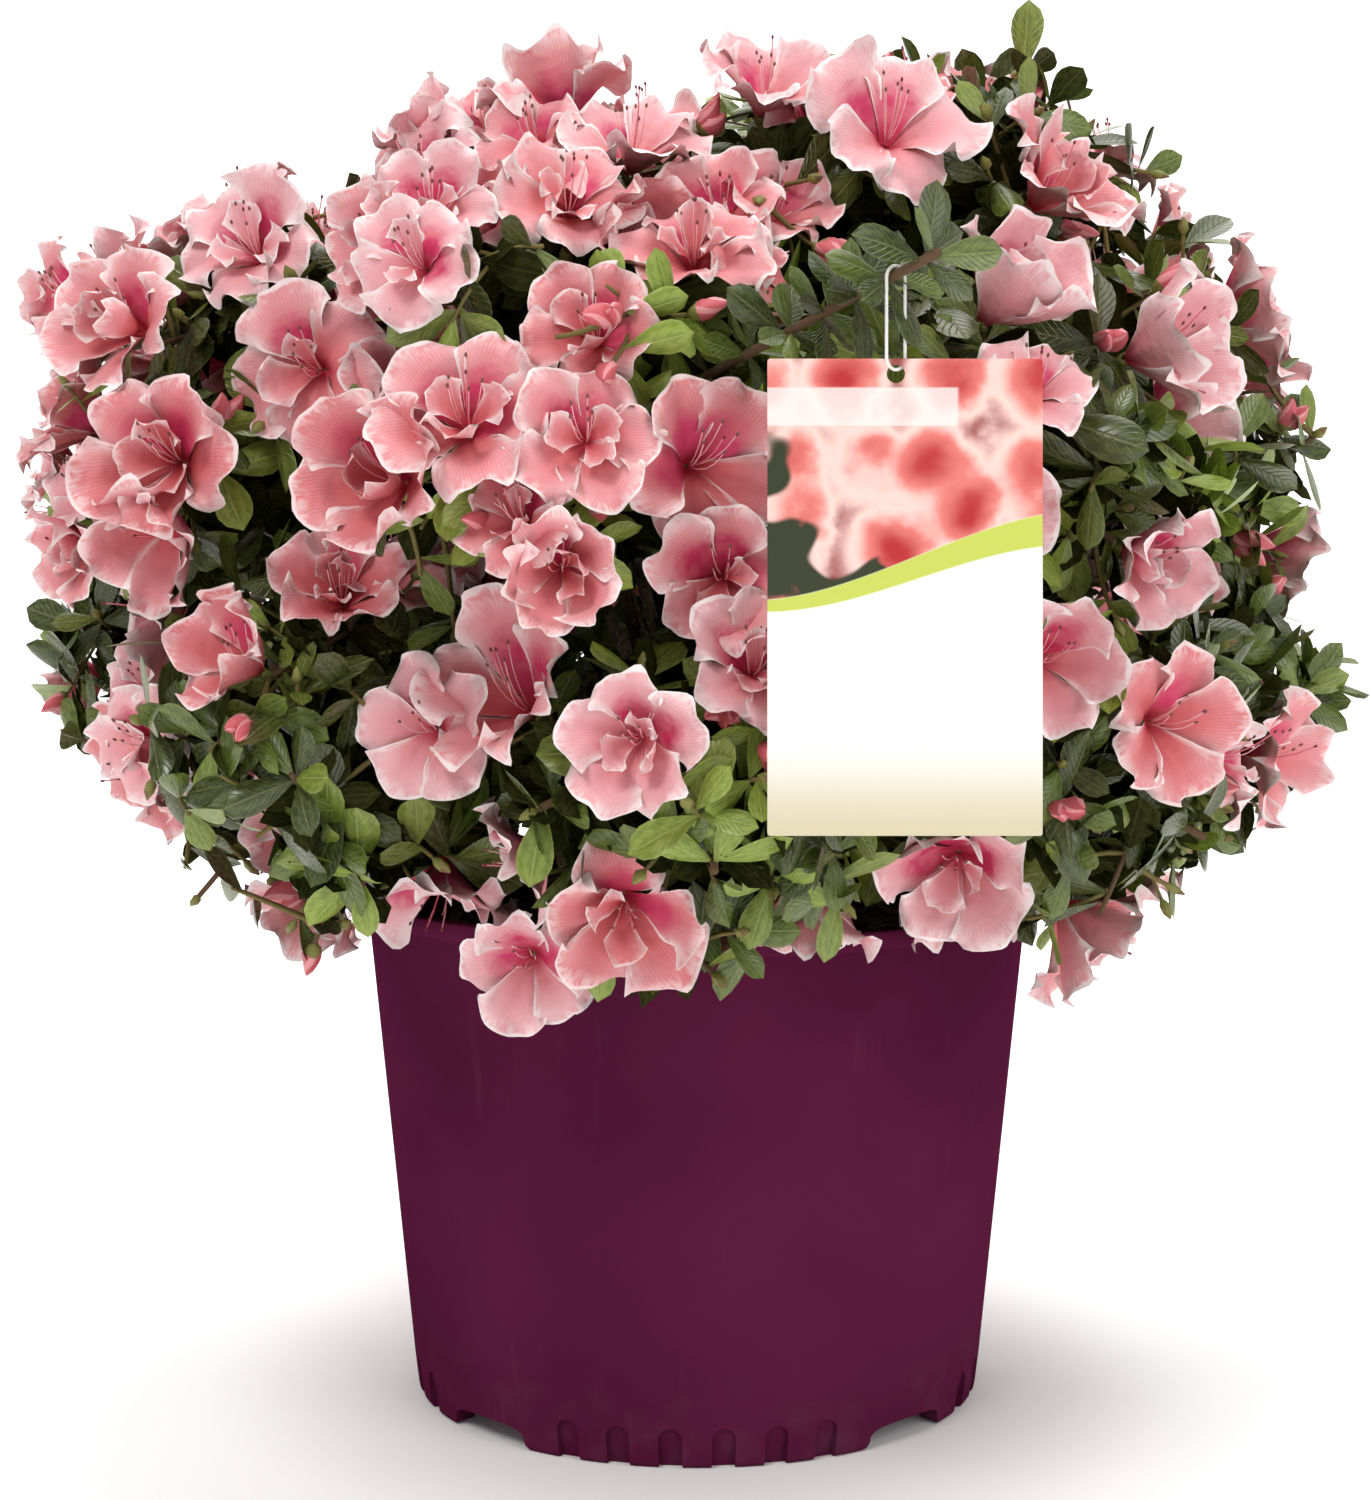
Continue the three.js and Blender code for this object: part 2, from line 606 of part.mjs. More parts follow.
// A bloom is one closed funnel: a lobed rim, a sunken throat and a base behind it
function funnel(bloom) {
  const { facing, radius } = bloom;
  const [across, over] = sideways(facing);
  const place = (angle, share, ahead) => step(bloom.shoot.tip, facing, ahead * radius)
    .addScaledVector(across, Math.cos(angle * RADIANS) * share * radius)
    .addScaledVector(over, Math.sin(angle * RADIANS) * share * radius);
  const corners = [];
  const triangles = [];
  for (let petal = 0; petal < PETALS; petal += 1) {
    const middle = bloom.spin + (petal * 360) / PETALS;
    corners.push(
      place(middle - 180 / PETALS, PETAL_NOTCH_RADIUS, -PETAL_NOTCH_DEPTH),
      place(middle - PETAL_HALF_TURN, 1, PETAL_TIP_LIFT),
      place(middle + PETAL_HALF_TURN, 1, PETAL_TIP_LIFT),
    );
  }
  const rim = corners.length;
  corners.push(place(0, 0, -THROAT_DEPTH), place(0, 0, -BASE_DEPTH));
  for (let corner = 0; corner < rim; corner += 1) {
    const next = (corner + 1) % rim;
    triangles.push([corner, next, rim], [next, corner, rim + 1]);
  }
  return body(corners, triangles);
}

function straightTwig(from, to, footRadius, tipRadius) {
  return limb([from, to], [footRadius, tipRadius], 3);
}

// The largest ball round a mass's middle that keeps to its space and clear of the blooms around it
function coreRadius(mass) {
  const toNeighbours = MASSES.filter((other) => other !== mass).map((other) => {
    const apart = mass.middle.distanceTo(other.middle);
    return (apart ** 2 + mass.radius ** 2 - other.radius ** 2) / (2 * apart) - SPACE_GAP;
  });
  const toBlooms = BLOOMS.filter((bloom) => bloom.shoot.mass !== mass).map((bloom) => (
    mass.middle.distanceTo(bloom.shoot.tip) - bloom.radius * BLOOM_ROOM - SPACE_GAP
  ));
  return Math.min(CORE_SHARE * mass.radius, ...toNeighbours, ...toBlooms);
}

// The end of a shoot: just inside its bloom, or the tip itself
function shootEnd(shoot) {
  return shoot.bloom ? step(shoot.tip, shoot.bloom.facing, -STALK_DEPTH * shoot.bloom.radius) : shoot.tip;
}

// A twig may grow where it keeps to its space and misses boughs and blooms
function mayGrow(shoot, foot, end) {
  return staysInSpace(end, shoot.mass, 2 * SPACE_GAP)
    && [0.2, 0.6, 1].every((share) => missesLimbs(mix(foot, end, share), LEADER_FOOT_RADIUS))
    && missesBlooms(foot, end, SIDE_FOOT_RADIUS, shoot);
}

// Leaders run from the middle of a mass to every third tip. The tips between are reached by side
// shoots, which leave the nearest leader part of the way along it.
function branch(mass) {
  const twigs = [];
  const leaders = [];
  const shoots = SHOOTS.filter((shoot) => shoot.mass === mass);
  const growLeader = (shoot) => {
    const end = shootEnd(shoot);
    if (!mayGrow(shoot, mass.middle, end)) return;
    const radii = [LEADER_FOOT_RADIUS, LEADER_TIP_RADIUS];
    const leader = { shoot, foot: mass.middle, end, radii, along: aim(mass.middle, end), sides: 0 };
    leaders.push(leader);
    twigs.push(leader);
  };
  shoots.filter((shoot) => shoot.place % LEADER_EVERY === 0).forEach(growLeader);
  shoots.filter((shoot) => shoot.place % LEADER_EVERY !== 0).forEach((shoot) => {
    const end = shootEnd(shoot);
    const near = leaders.filter((leader) => (
      leader.sides < SIDES_PER_LEADER && leader.end.distanceTo(end) < SIDE_REACH
    ));
    near.sort((a, b) => a.end.distanceTo(end) - b.end.distanceTo(end));
    const start = (leader) => (
      step(mass.middle, leader.along, mass.radius * CORE_SHARE + SIDE_START + SIDE_PITCH * leader.sides)
    );
    const leader = near.find((candidate) => mayGrow(shoot, start(candidate), end));
    if (!leader) {
      growLeader(shoot);
      return;
    }
    const foot = start(leader);
    leader.sides += 1;
    twigs.push({ shoot, foot, end, radii: [SIDE_FOOT_RADIUS, SIDE_TIP_RADIUS], sides: 0 });
  });
  return twigs;
}

// One mass: a stem from its bough, a core, leaders, side shoots, leaves and blooms, grown together
function foliageMass(mass) {
  const bough = BOUGHS[mass.index];
  const boughTip = bough.points[BOUGH_RINGS - 1];
  const boughEnd = aim(bough.points[BOUGH_RINGS - 2], boughTip);
  const stemFoot = step(boughTip, boughEnd, SEAT_GAP);
  const core = new THREE.OctahedronGeometry(coreRadius(mass), 1);
  core.translate(...mass.middle.toArray());
  const stem = limb(
    [stemFoot, step(stemFoot, boughEnd, BOUGH_TIP_RADIUS), mass.middle],
    [BOUGH_TIP_RADIUS, BOUGH_TIP_RADIUS, LEADER_FOOT_RADIUS],
    BOUGH_SIDES,
  );
  const pieces = [core, stem];
  branch(mass).forEach(({ shoot, foot, end, radii, sides }) => {
    const along = aim(foot, end);
    const leafBase = step(end, along, shoot.bloom ? -BLOOM_LEAF_DEPTH * shoot.bloom.radius : -LEAF_SPACING);
    const leaves = whorl(shoot, leafBase, along, shoot.bloom ? LEAVES_PER_BLOOM : LEAVES_PER_SHOOT);
    if (shoot.bloom) pieces.push(funnel(shoot.bloom));
    if (shoot.bloom || sides > 0 || leaves.length > 0) {
      pieces.push(straightTwig(foot, end, ...radii), ...leaves);
    }
  });
  if (mass.label === TAG_MASS) {
    const along = aim(TAG_SHOOT_FOOT, TAG_SHOOT_TIP);
    const carrier = { mass, draw: seededNumbers(SEED) };
    pieces.push(straightTwig(TAG_SHOOT_FOOT, TAG_SHOOT_TIP, TAG_SHOOT_RADIUS, TAG_SHOOT_RADIUS));
    pieces.push(...whorl(carrier, step(TAG_SHOOT_TIP, along, -LEAF_SPACING), along, LEAVES_PER_SHOOT));
  }
  return part(`foliage_${mass.label}`, fuse(pieces), 0x4c5a32, 0.7);
}

// Tag and loop

function hangTag() {
  const halfWidth = TAG_WIDTH / 2 - TAG_CORNER;
  const card = new THREE.Shape();
  card.absarc(halfWidth, -TAG_CORNER, TAG_CORNER, Math.PI / 2, 0, true);
  card.absarc(halfWidth, TAG_CORNER - TAG_HEIGHT, TAG_CORNER, 0, -Math.PI / 2, true);
  card.absarc(-halfWidth, TAG_CORNER - TAG_HEIGHT, TAG_CORNER, -Math.PI / 2, -Math.PI, true);
  card.absarc(-halfWidth, -TAG_CORNER, TAG_CORNER, Math.PI, Math.PI / 2, true);
  const hole = new THREE.Path();
  hole.absarc(TAG_HOLE_ASIDE, -TAG_HOLE_INSET, TAG_HOLE_RADIUS, 0, 2 * Math.PI);
  card.holes.push(hole);
  const solid = new THREE.ExtrudeGeometry(card, {
    depth: TAG_THICKNESS,
    bevelEnabled: false,
    curveSegments: 4,
  });
  solid.rotateX(Math.PI / 2).translate(TAG_MIDDLE_X, TAG_FRONT + TAG_THICKNESS, TAG_TOP);
  return part('hang_tag', solid, 0xf4f1e6, 0.4);
}

// The loop is a long ring: two straight strands with a half-round bend at each end
function tagLoop() {
  const aside = vector(Math.cos(LOOP_TURN * RADIANS), Math.sin(LOOP_TURN * RADIANS), 0);
  const bend = (centre, from) => {
    const points = [];
    for (let corner = 0; corner <= LOOP_BEND_STEPS; corner += 1) {
      const angle = (from + (corner / LOOP_BEND_STEPS) * 180) * RADIANS;
      const across = step(centre, aside, Math.cos(angle) * LOOP_HALF_WIDTH);
      points.push(step(across, UP, Math.sin(angle) * LOOP_HALF_WIDTH));
    }
    return points;
  };
  const lower = bend(step(LOOP_FOOT, UP, LOOP_HALF_WIDTH), 180);
  const upper = bend(step(LOOP_HEAD, UP, -LOOP_HALF_WIDTH), 0);
  const half = LOOP_BEND_STEPS / 2;
  const points = [...lower.slice(half), ...upper, ...lower.slice(0, half)];
  const radii = points.map(() => LOOP_WIRE_RADIUS);
  return part('tag_loop', limb(points, radii, LOOP_SIDES, true), 0xf2f2f0, 0.5);
}

const plant = new THREE.Group();
plant.add(nurseryPot(), pottingMix(), mainStem(), hangTag(), tagLoop());
MASSES.forEach((mass) => {
  const bough = BOUGHS[mass.index];
  plant.add(part(`bough_${mass.label}`, limb(bough.points, bough.radii, BOUGH_SIDES), 0x6b5443, 0.85));
  plant.add(foliageMass(mass));
});

export default plant;
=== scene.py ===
from math import acos, asin, copysign, cos, degrees, hypot, pi, radians, sin, sqrt, tan
import bpy
import numpy as np
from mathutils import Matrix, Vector
from numpy.linalg import norm


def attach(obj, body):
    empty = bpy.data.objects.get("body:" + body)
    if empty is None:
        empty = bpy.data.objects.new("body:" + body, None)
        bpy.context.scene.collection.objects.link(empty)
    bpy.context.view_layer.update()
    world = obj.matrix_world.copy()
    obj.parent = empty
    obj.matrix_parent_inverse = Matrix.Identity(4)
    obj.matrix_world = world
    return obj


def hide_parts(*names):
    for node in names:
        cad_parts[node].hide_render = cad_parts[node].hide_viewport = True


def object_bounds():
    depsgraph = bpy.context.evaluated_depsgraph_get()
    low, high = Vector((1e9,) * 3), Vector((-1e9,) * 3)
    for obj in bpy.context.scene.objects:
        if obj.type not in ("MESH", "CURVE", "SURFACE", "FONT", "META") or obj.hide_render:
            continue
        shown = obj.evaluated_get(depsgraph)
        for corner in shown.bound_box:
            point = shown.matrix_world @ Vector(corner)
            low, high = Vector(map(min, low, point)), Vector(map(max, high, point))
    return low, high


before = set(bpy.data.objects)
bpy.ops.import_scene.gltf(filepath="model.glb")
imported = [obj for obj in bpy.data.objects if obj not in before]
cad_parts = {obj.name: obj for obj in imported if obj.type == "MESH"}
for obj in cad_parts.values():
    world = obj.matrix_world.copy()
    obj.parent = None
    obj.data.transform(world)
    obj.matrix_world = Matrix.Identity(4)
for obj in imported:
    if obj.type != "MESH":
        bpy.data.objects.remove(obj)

cad_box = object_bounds()
MM = 0.001


# Nursery pot: one thin shell of plum plastic, injection moulded, a little wider at the top. It has a
# rolled lip, four broad feet with open notches between them, and small arched flutes round the foot.
POT_HEIGHT, POT_TOP_RADIUS, POT_FOOT_RADIUS, POT_WALL = 208, 140, 118, 2.5
LIP_HEIGHT, LIP_REACH = 7, 2
CHANNEL_HEIGHT, CHANNEL_INNER_RADIUS, CHANNEL_SLOPE, FOOT_RING_WIDTH = 9.5, 78, 8, 10
FOOT_COUNT, NOTCH_TURN, NOTCH_HEIGHT, FOOT_ROUND = 4, 20, 8.8, 2.5
FLUTES_PER_FOOT, FLUTE_PITCH_TURN, FLUTE_WIDTH, FLUTE_HEIGHT = 6, 10, 9.2, 16
FLUTE_DEPTH, FLUTE_SLOPE, NOTCH_ROUND, NOTCH_SQUARE = 4.4, 0.32, 4, 0.6
POT_SIDES, ARCH_SWEEP, FOOT_SWEEP, LEAST_SHOULDER, LIP_ROUND = 180, 12, 6, 0.35, 1.1


def shade(red, green, blue):
    """A colour as seen on screen, 0 to 255, as the shader's own numbers."""
    parts = [c / 255 for c in (red, green, blue)]
    return tuple(c / 12.92 if c <= 0.04045 else ((c + 0.055) / 1.055) ** 2.4 for c in parts) + (1.0,)


class Tone:
    """One output of a shader node. Arithmetic on it adds the Math nodes that it needs."""

    def __init__(self, finish, socket):
        self.finish, self.socket = finish, socket

    def sum(self, operation, *values):
        return self.finish.node("ShaderNodeMath", {"operation": operation}, dict(enumerate(values)))

    def __add__(self, other):
        return self.sum("ADD", self, other)

    def __sub__(self, other):
        return self.sum("SUBTRACT", self, other)

    def __rsub__(self, other):
        return self.sum("SUBTRACT", other, self)

    def __mul__(self, other):
        return self.sum("MULTIPLY", self, other)

    def __truediv__(self, other):
        return self.sum("DIVIDE", self, other)

    __radd__, __rmul__ = __add__, __mul__

    def size(self):
        return self.sum("ABSOLUTE", self)

    def from_half(self):
        """How far the part after the point is from a half."""
        return ((self - self.sum("FLOOR", self)) - 0.5).size()

    def between(self, low, high):
        """0 at low and 1 at high, eased at both ends."""
        sockets = {"Value": self, "From Min": low, "From Max": high}
        return self.finish.node("ShaderNodeMapRange", {"interpolation_type": "SMOOTHSTEP"}, sockets)


class Finish:
    """A material whose colour, gloss and relief are worked out by nodes."""

    def __init__(self, name, **constants):
        self.material = bpy.data.materials.new(name)
        self.material.use_nodes = True
        self.tree = self.material.node_tree
        self.shader = self.tree.nodes["Principled BSDF"]
        for socket, value in constants.items():
            self.shader.inputs[socket.replace("_", " ")].default_value = value

    def node(self, kind, settings, sockets, output=0):
        made = self.tree.nodes.new(kind)
        for name, value in settings.items():
            setattr(made, name, value)
        for name, value in sockets.items():
            if isinstance(value, Tone):
                self.tree.links.new(value.socket, made.inputs[name])
            else:
                made.inputs[name].default_value = value
        return Tone(self, made.outputs[output])

    def feed(self, socket, tone):
        self.tree.links.new(tone.socket, self.shader.inputs[socket])

    def place(self, stretch=(1, 1, 1)):
        """The point of the object, in metres, stretched along its axes."""
        return self.stretched(self.node("ShaderNodeTexCoord", {}, {}, "Object"), stretch)

    def stretched(self, vector, stretch):
        return self.node("ShaderNodeVectorMath", {"operation": "MULTIPLY"}, {0: vector, 1: stretch})

    def cloud(self, vector, scale, detail=3.0, roughness=0.5):
        sockets = {"Vector": vector, "Scale": scale, "Detail": detail, "Roughness": roughness}
        return self.node("ShaderNodeTexNoise", {}, sockets, "Fac")

    def mix(self, share, first, second):
        """Two colours mixed by a share of the second."""
        return self.node("ShaderNodeMix", {"data_type": "RGBA"}, {0: share, 6: first, 7: second}, 2)

    def parts(self, vector):
        """The three numbers of a vector."""
        made = self.node("ShaderNodeSeparateXYZ", {}, {0: vector})
        return [Tone(self, made.socket.node.outputs[axis]) for axis in range(3)]

    def relief(self, height, strength, distance=MM):
        sockets = {"Height": height, "Strength": strength, "Distance": distance}
        self.feed("Normal", self.node("ShaderNodeBump", {}, sockets))


def in_scene(name, data):
    """A mesh, a curve, a lamp or a camera, as an object of the scene."""
    made = bpy.data.objects.new(name, data)
    bpy.context.scene.collection.objects.link(made)
    return made


def final_mesh(made):
    """The finished mesh of an object that only serves to make it."""
    mesh = bpy.data.meshes.new_from_object(made.evaluated_get(bpy.context.evaluated_depsgraph_get()))
    bpy.data.objects.remove(made)
    return mesh


def put_in_place(name, mesh, finishes, stands_for):
    """A mesh becomes a piece of the plant, in place of the solids that it stands for."""
    for finish in finishes:
        mesh.materials.append(finish.material)
    made = in_scene(name, mesh)
    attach(made, "root")
    if stands_for:
        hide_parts(*stands_for)


class Sheaf:
    """Many shapes gathered into one mesh, each corner with its place on the shared pattern."""

    def __init__(self):
        self.points, self.faces, self.places, self.tones, self.count = [], [], [], [], 0

    def add(self, points, faces, places, tone=0):
        faces = np.asarray(faces)
        self.points.append(np.asarray(points, float))
        self.faces.append(faces + self.count)
        self.places.append(np.asarray(places, float))
        self.tones.append(np.full(len(faces), tone))
        self.count += len(points)

    def piece(self, name, finishes, slot, stands_for=(), crease=0):
        mesh = bpy.data.meshes.new(name)
        points, places = np.concatenate(self.points) * MM, np.concatenate(self.places)
        corners = np.concatenate([faces.ravel() for faces in self.faces])
        sides = np.concatenate([np.full(len(faces), faces.shape[1]) for faces in self.faces])
        mesh.vertices.add(len(points))
        mesh.vertices.foreach_set("co", points.ravel())
        mesh.loops.add(len(corners))
        mesh.loops.foreach_set("vertex_index", corners.astype(np.int32))
        mesh.polygons.add(len(sides))
        mesh.polygons.foreach_set("loop_start", (np.cumsum(sides) - sides).astype(np.int32))
        mesh.polygons.foreach_set("material_index", np.concatenate(self.tones).astype(np.int32))
        mesh.polygons.foreach_set("use_smooth", np.ones(len(sides), bool))
        mesh.uv_layers.new(name="OFBake")
        mesh.uv_layers[0].uv.foreach_set("vector", places[corners].ravel())
        mesh.update(calc_edges=True)
        mesh.validate()
        if crease:
            mesh.set_sharp_from_angle(angle=radians(crease))
        put_in_place(name, mesh, finishes, stands_for)


def grid_faces(rows, columns, closed=False):
    """The quads of a grid of points, closed into a tube where the columns run all the way round."""
    across = columns if closed else columns - 1
    row, column = np.mgrid[0:rows - 1, 0:across].reshape(2, -1)
    beside = (column + 1) % columns
    return np.stack([row * columns + column, row * columns + beside,
                     (row + 1) * columns + beside, (row + 1) * columns + column], 1)


def ring_angles(sides):
    return np.arange(sides) * 2 * pi / sides


def pot_radius(height):
    return POT_FOOT_RADIUS + (POT_TOP_RADIUS - POT_FOOT_RADIUS) * height / POT_HEIGHT


def turned(profile, sides, name):
    """A body turned round +Z from a closed profile of radius and height."""
    angles = ring_angles(sides)
    radius, height = np.array(profile, float).T
    ring = np.stack([np.sin(angles), -np.cos(angles)], 1)
    points = [[*(ring[side] * r), h] for r, h in zip(radius, height) for side in range(sides)]
    faces = grid_faces(len(profile), sides, True).tolist()
    last = (len(profile) - 1) * sides
    faces += [list(range(sides))[::-1], list(range(last, last + sides))]
    mesh = bpy.data.meshes.new(name)
    mesh.from_pydata(np.array(points) * MM, [], faces)
    return in_scene(name, mesh)


def arch(turn, half_width, height, inner, slope=0.0, flare=0.0, square=1.0):
    """An arched cutter at a turn round the pot, which reaches in from outside the wall."""
    shoulder = max(height - half_width, height * LEAST_SHOULDER)
    foot = [(half_width + flare * (1 - cos(angle)), flare * (1 - sin(angle)))
            for angle in np.linspace(pi / 2, 0, FOOT_SWEEP)] if flare else []
    outline = [(-half_width - flare, -2), (half_width + flare, -2), *foot]
    for corner in range(ARCH_SWEEP + 1):
        angle = pi * corner / ARCH_SWEEP
        across, up = cos(angle), sin(angle)
        outline.append((copysign(abs(across) ** square, across) * half_width,
                        shoulder + up ** square * (height - shoulder)))
    outline += [(-x, z) for x, z in reversed(foot)]
    points = [(x, -inner - slope * z, z) for x, z in outline] + [(x, -POT_TOP_RADIUS, z) for x, z in outline]
    count = len(outline)
    faces = [[k, (k + 1) % count, count + (k + 1) % count, count + k] for k in range(count)]
    faces += [list(range(count))[::-1], list(range(count, 2 * count))]
    angle = radians(turn)
    turned_points = [(x * cos(angle) - y * sin(angle), x * sin(angle) + y * cos(angle), z)
                     for x, y, z in points]
    return turned_points, faces


def nursery_pot():
    lip_foot, ring_inner = POT_HEIGHT - LIP_HEIGHT, POT_FOOT_RADIUS - FOOT_RING_WIDTH
    floor = CHANNEL_HEIGHT + POT_WALL
    rounded = [(POT_FOOT_RADIUS - FOOT_ROUND * (1 - sin(a)), FOOT_ROUND * (1 - cos(a)))
               for a in np.linspace(0, pi / 2, 5)]
    rolled = [(POT_TOP_RADIUS + LIP_REACH - LIP_ROUND * (1 - cos(a)),
               POT_HEIGHT - LIP_ROUND + LIP_ROUND * sin(a)) for a in np.linspace(0, pi / 2, 4)]
    wall = [(pot_radius(height), height) for height in np.linspace(14, lip_foot - 1, 9)]
    profile = [(0.2, 0), (CHANNEL_INNER_RADIUS - CHANNEL_SLOPE, 0), (CHANNEL_INNER_RADIUS, CHANNEL_HEIGHT),
               (ring_inner, CHANNEL_HEIGHT), (ring_inner, 0), *rounded, *wall,
               (pot_radius(lip_foot) + LIP_REACH, lip_foot + 1.5), *rolled,
               (POT_TOP_RADIUS - POT_WALL, POT_HEIGHT), (pot_radius(floor) - POT_WALL, floor),
               (CHANNEL_INNER_RADIUS - POT_WALL, floor), (CHANNEL_INNER_RADIUS - CHANNEL_SLOPE, POT_WALL),
               (0.2, POT_WALL)]
    shell = turned(profile, POT_SIDES, "pot_shell")
    points, faces = [], []
    for foot in range(FOOT_COUNT):
        middle = foot * 360 / FOOT_COUNT
        half_notch = POT_FOOT_RADIUS * sin(radians(NOTCH_TURN / 2))
        cuts = [arch(middle + 180 / FOOT_COUNT, half_notch, NOTCH_HEIGHT, ring_inner - FOOT_RING_WIDTH, 0,
                     NOTCH_ROUND, NOTCH_SQUARE)]
        for flute in range(FLUTES_PER_FOOT):
            turn = middle + (flute - (FLUTES_PER_FOOT - 1) / 2) * FLUTE_PITCH_TURN
            cuts.append(arch(turn, FLUTE_WIDTH / 2, FLUTE_HEIGHT, POT_FOOT_RADIUS - FLUTE_DEPTH, FLUTE_SLOPE))
        for cut_points, cut_faces in cuts:
            faces += [[k + len(points) for k in face] for face in cut_faces]
            points += cut_points
    cutter = in_scene("pot_cutter", bpy.data.meshes.new("pot_cutter"))
    cutter.data.from_pydata(np.array(points) * MM, [], faces)
    cut = shell.modifiers.new("cut", "BOOLEAN")
    cut.operation, cut.solver, cut.object = "DIFFERENCE", "EXACT", cutter
    made = final_mesh(shell)
    bpy.data.objects.remove(cutter)
    made.shade_smooth()
    made.set_sharp_from_angle(angle=radians(32))
    return made


pot_plastic = Finish("pot_plastic", Specular_IOR_Level=0.0)
point = pot_plastic.place()
across, deep, height = pot_plastic.parts(point)
broad = pot_plastic.cloud(point, 9, 2)
rubbed = pot_plastic.cloud(pot_plastic.place((1, 1, 0.12)), 140, 4).between(0.62, 0.78)
dust = pot_plastic.cloud(point, 60, 5).between(0.45, 0.75) * (1 - height.between(0.0, 0.045))
body = pot_plastic.mix(broad.between(0.35, 0.65), shade(84, 25, 56), shade(92, 30, 62))
body = pot_plastic.mix(rubbed * 0.14, body, shade(124, 64, 96))
pot_plastic.feed("Base Color", pot_plastic.mix(dust * 0.08, body, shade(140, 112, 120)))
pot_plastic.feed("Roughness", 0.38 + broad * 0.12 + rubbed * 0.1 + dust * 0.15)
drawn = pot_plastic.cloud(pot_plastic.place((1, 1, 0.03)), 420, 2)
pot_plastic.relief(pot_plastic.cloud(point, 700, 2) * 0.4 + drawn * 0.6, 0.12, 0.3 * MM)
put_in_place("pot", nursery_pot(), [pot_plastic], ["nursery_pot"])


# Potting mix: composted bark with a little fibre and perlite, pressed in to 20 mm below the rim. Its
# body is hidden by the pot; the loose crust on top shows between the lowest leaves.
MIX_TOP, MIX_RADIUS, MIX_PATTERN, CHIPS = 188, 137, 300, 900

mix_body = Finish("mix_body", Roughness=0.95)
point = mix_body.place()
grain = mix_body.cloud(point, 130, 6, 0.65)
mix_body.feed("Base Color", mix_body.mix(grain.between(0.35, 0.7), shade(36, 25, 18), shade(84, 62, 46)))
mix_body.relief(grain, 0.8, 3 * MM)


def grained(name, colour, rough, scale, strength, depth, **constants):
    """A finish of one colour with a fine grain in relief."""
    finish = Finish(name, Roughness=rough, Base_Color=shade(*colour), **constants)
    finish.relief(finish.cloud(finish.place(), scale, 2), strength, depth * MM)
    return finish


chip_finishes = [mix_body] + [grained(name, colour, 0.9, 260, 0.6, 0.6) for name, colour in (
    ("bark_chip_dark", (52, 34, 24)), ("bark_chip_brown", (92, 62, 42)), ("bark_chip_pale", (130, 98, 70)),
    ("perlite", (214, 208, 196)))]
mix_node = bpy.data.objects["potting_mix"].data
mix_node.materials.clear()
mix_node.materials.append(mix_body.material)

random = np.random.RandomState(41)
crust = Sheaf()
rings, spokes = 46, 120
reach = np.linspace(0, MIX_RADIUS - 0.4, rings)[:, None]
turn = np.linspace(0, 2 * pi, spokes, endpoint=False)[None, :]
x, y = reach * np.cos(turn), reach * np.sin(turn)
swells = random.uniform(0.04, 0.32, (9, 4)) * [1, 1, 20, 20]
lumps = sum(np.sin(x * a + p) * np.sin(y * b + q) for a, b, p, q in swells)
fine = random.uniform(-0.7, 0.7, x.shape)
fine[0] = 0
z = MIX_TOP + 1.6 + 0.45 * lumps + fine
crust.add(np.stack([x, y, z], 2).reshape(-1, 3), grid_faces(rings, spokes, True),
          np.stack([0.5 + x / MIX_PATTERN, 0.5 + y / MIX_PATTERN], 2).reshape(-1, 2))
cube = np.array([(a, b, c) for c in (-1, 1) for b in (-1, 1) for a in (-1, 1)], float)
cube_faces = [(0, 2, 3, 1), (4, 5, 7, 6), (0, 1, 5, 4), (2, 6, 7, 3), (0, 4, 6, 2), (1, 3, 7, 5)]
for _ in range(CHIPS):
    distance, angle = sqrt(random.uniform(0.03, 0.97)) * MIX_RADIUS, random.uniform(0, 2 * pi)
    tone = random.choice([1, 2, 3, 4], p=[0.4, 0.34, 0.2, 0.06])
    half = np.array([random.uniform(2, 7), random.uniform(1.5, 3.5), random.uniform(0.5, 1.4)])
    half = np.full(3, random.uniform(1, 2)) if tone == 4 else half
    corners = cube * half * random.uniform(0.6, 1.15, (8, 3))
    spin, tip = random.uniform(0, 2 * pi), random.normal(0, 0.28)
    lean, rise, ahead, aside = cos(tip), sin(tip), cos(spin), sin(spin)
    corners = corners @ np.array([[lean, 0, -rise], [0, 1, 0], [rise, 0, lean]])
    corners = corners @ np.array([[ahead, aside, 0], [-aside, ahead, 0], [0, 0, 1]])
    height = MIX_TOP + random.uniform(1.5, 3.2)
    middle = np.array([cos(angle) * distance, sin(angle) * distance, height])
    room = MIX_RADIUS - 1 - np.hypot(*middle[:2])
    if room > half[0]:
        crust.add(corners + middle, cube_faces, np.full((8, 2), 0.5), tone)
crust.piece("mix_crust", chip_finishes, "potting_mix", crease=40)


# The rule that the plant grows by: where its boughs, masses, shoots and large flowers stand. It is the
# rule of the solids, so these have their own solids behind them. Finer growth starts from them.
TIERS = [
    dict(name="skirt", count=8, reach=188, height=284, radius=80, lean=0, shift=-4, turn=0, rise=4),
    dict(name="shoulder", count=7, reach=172, height=394, radius=96, lean=-5, shift=-8, turn=-114, rise=35),
    dict(name="crown", count=5, reach=94, height=446, radius=98, lean=15, shift=14, turn=108, rise=65),
]
SEED = 234
UP = np.array([0.0, 0.0, 1.0])
DEPTH_SHARE, RIM_CLEARANCE = 0.95, 3
UNDERSIDE, UNDERSIDE_RADIUS, UNDERSIDE_RISE = 180, 190, 1.1
HEART = UP * 330
KNUCKLE = np.array([0.0, 0.0, 227.0])
KNUCKLE_RADIUS, BOUGH_FOOT_GAP, SEAT_GAP = 18, 0.35, 0.3
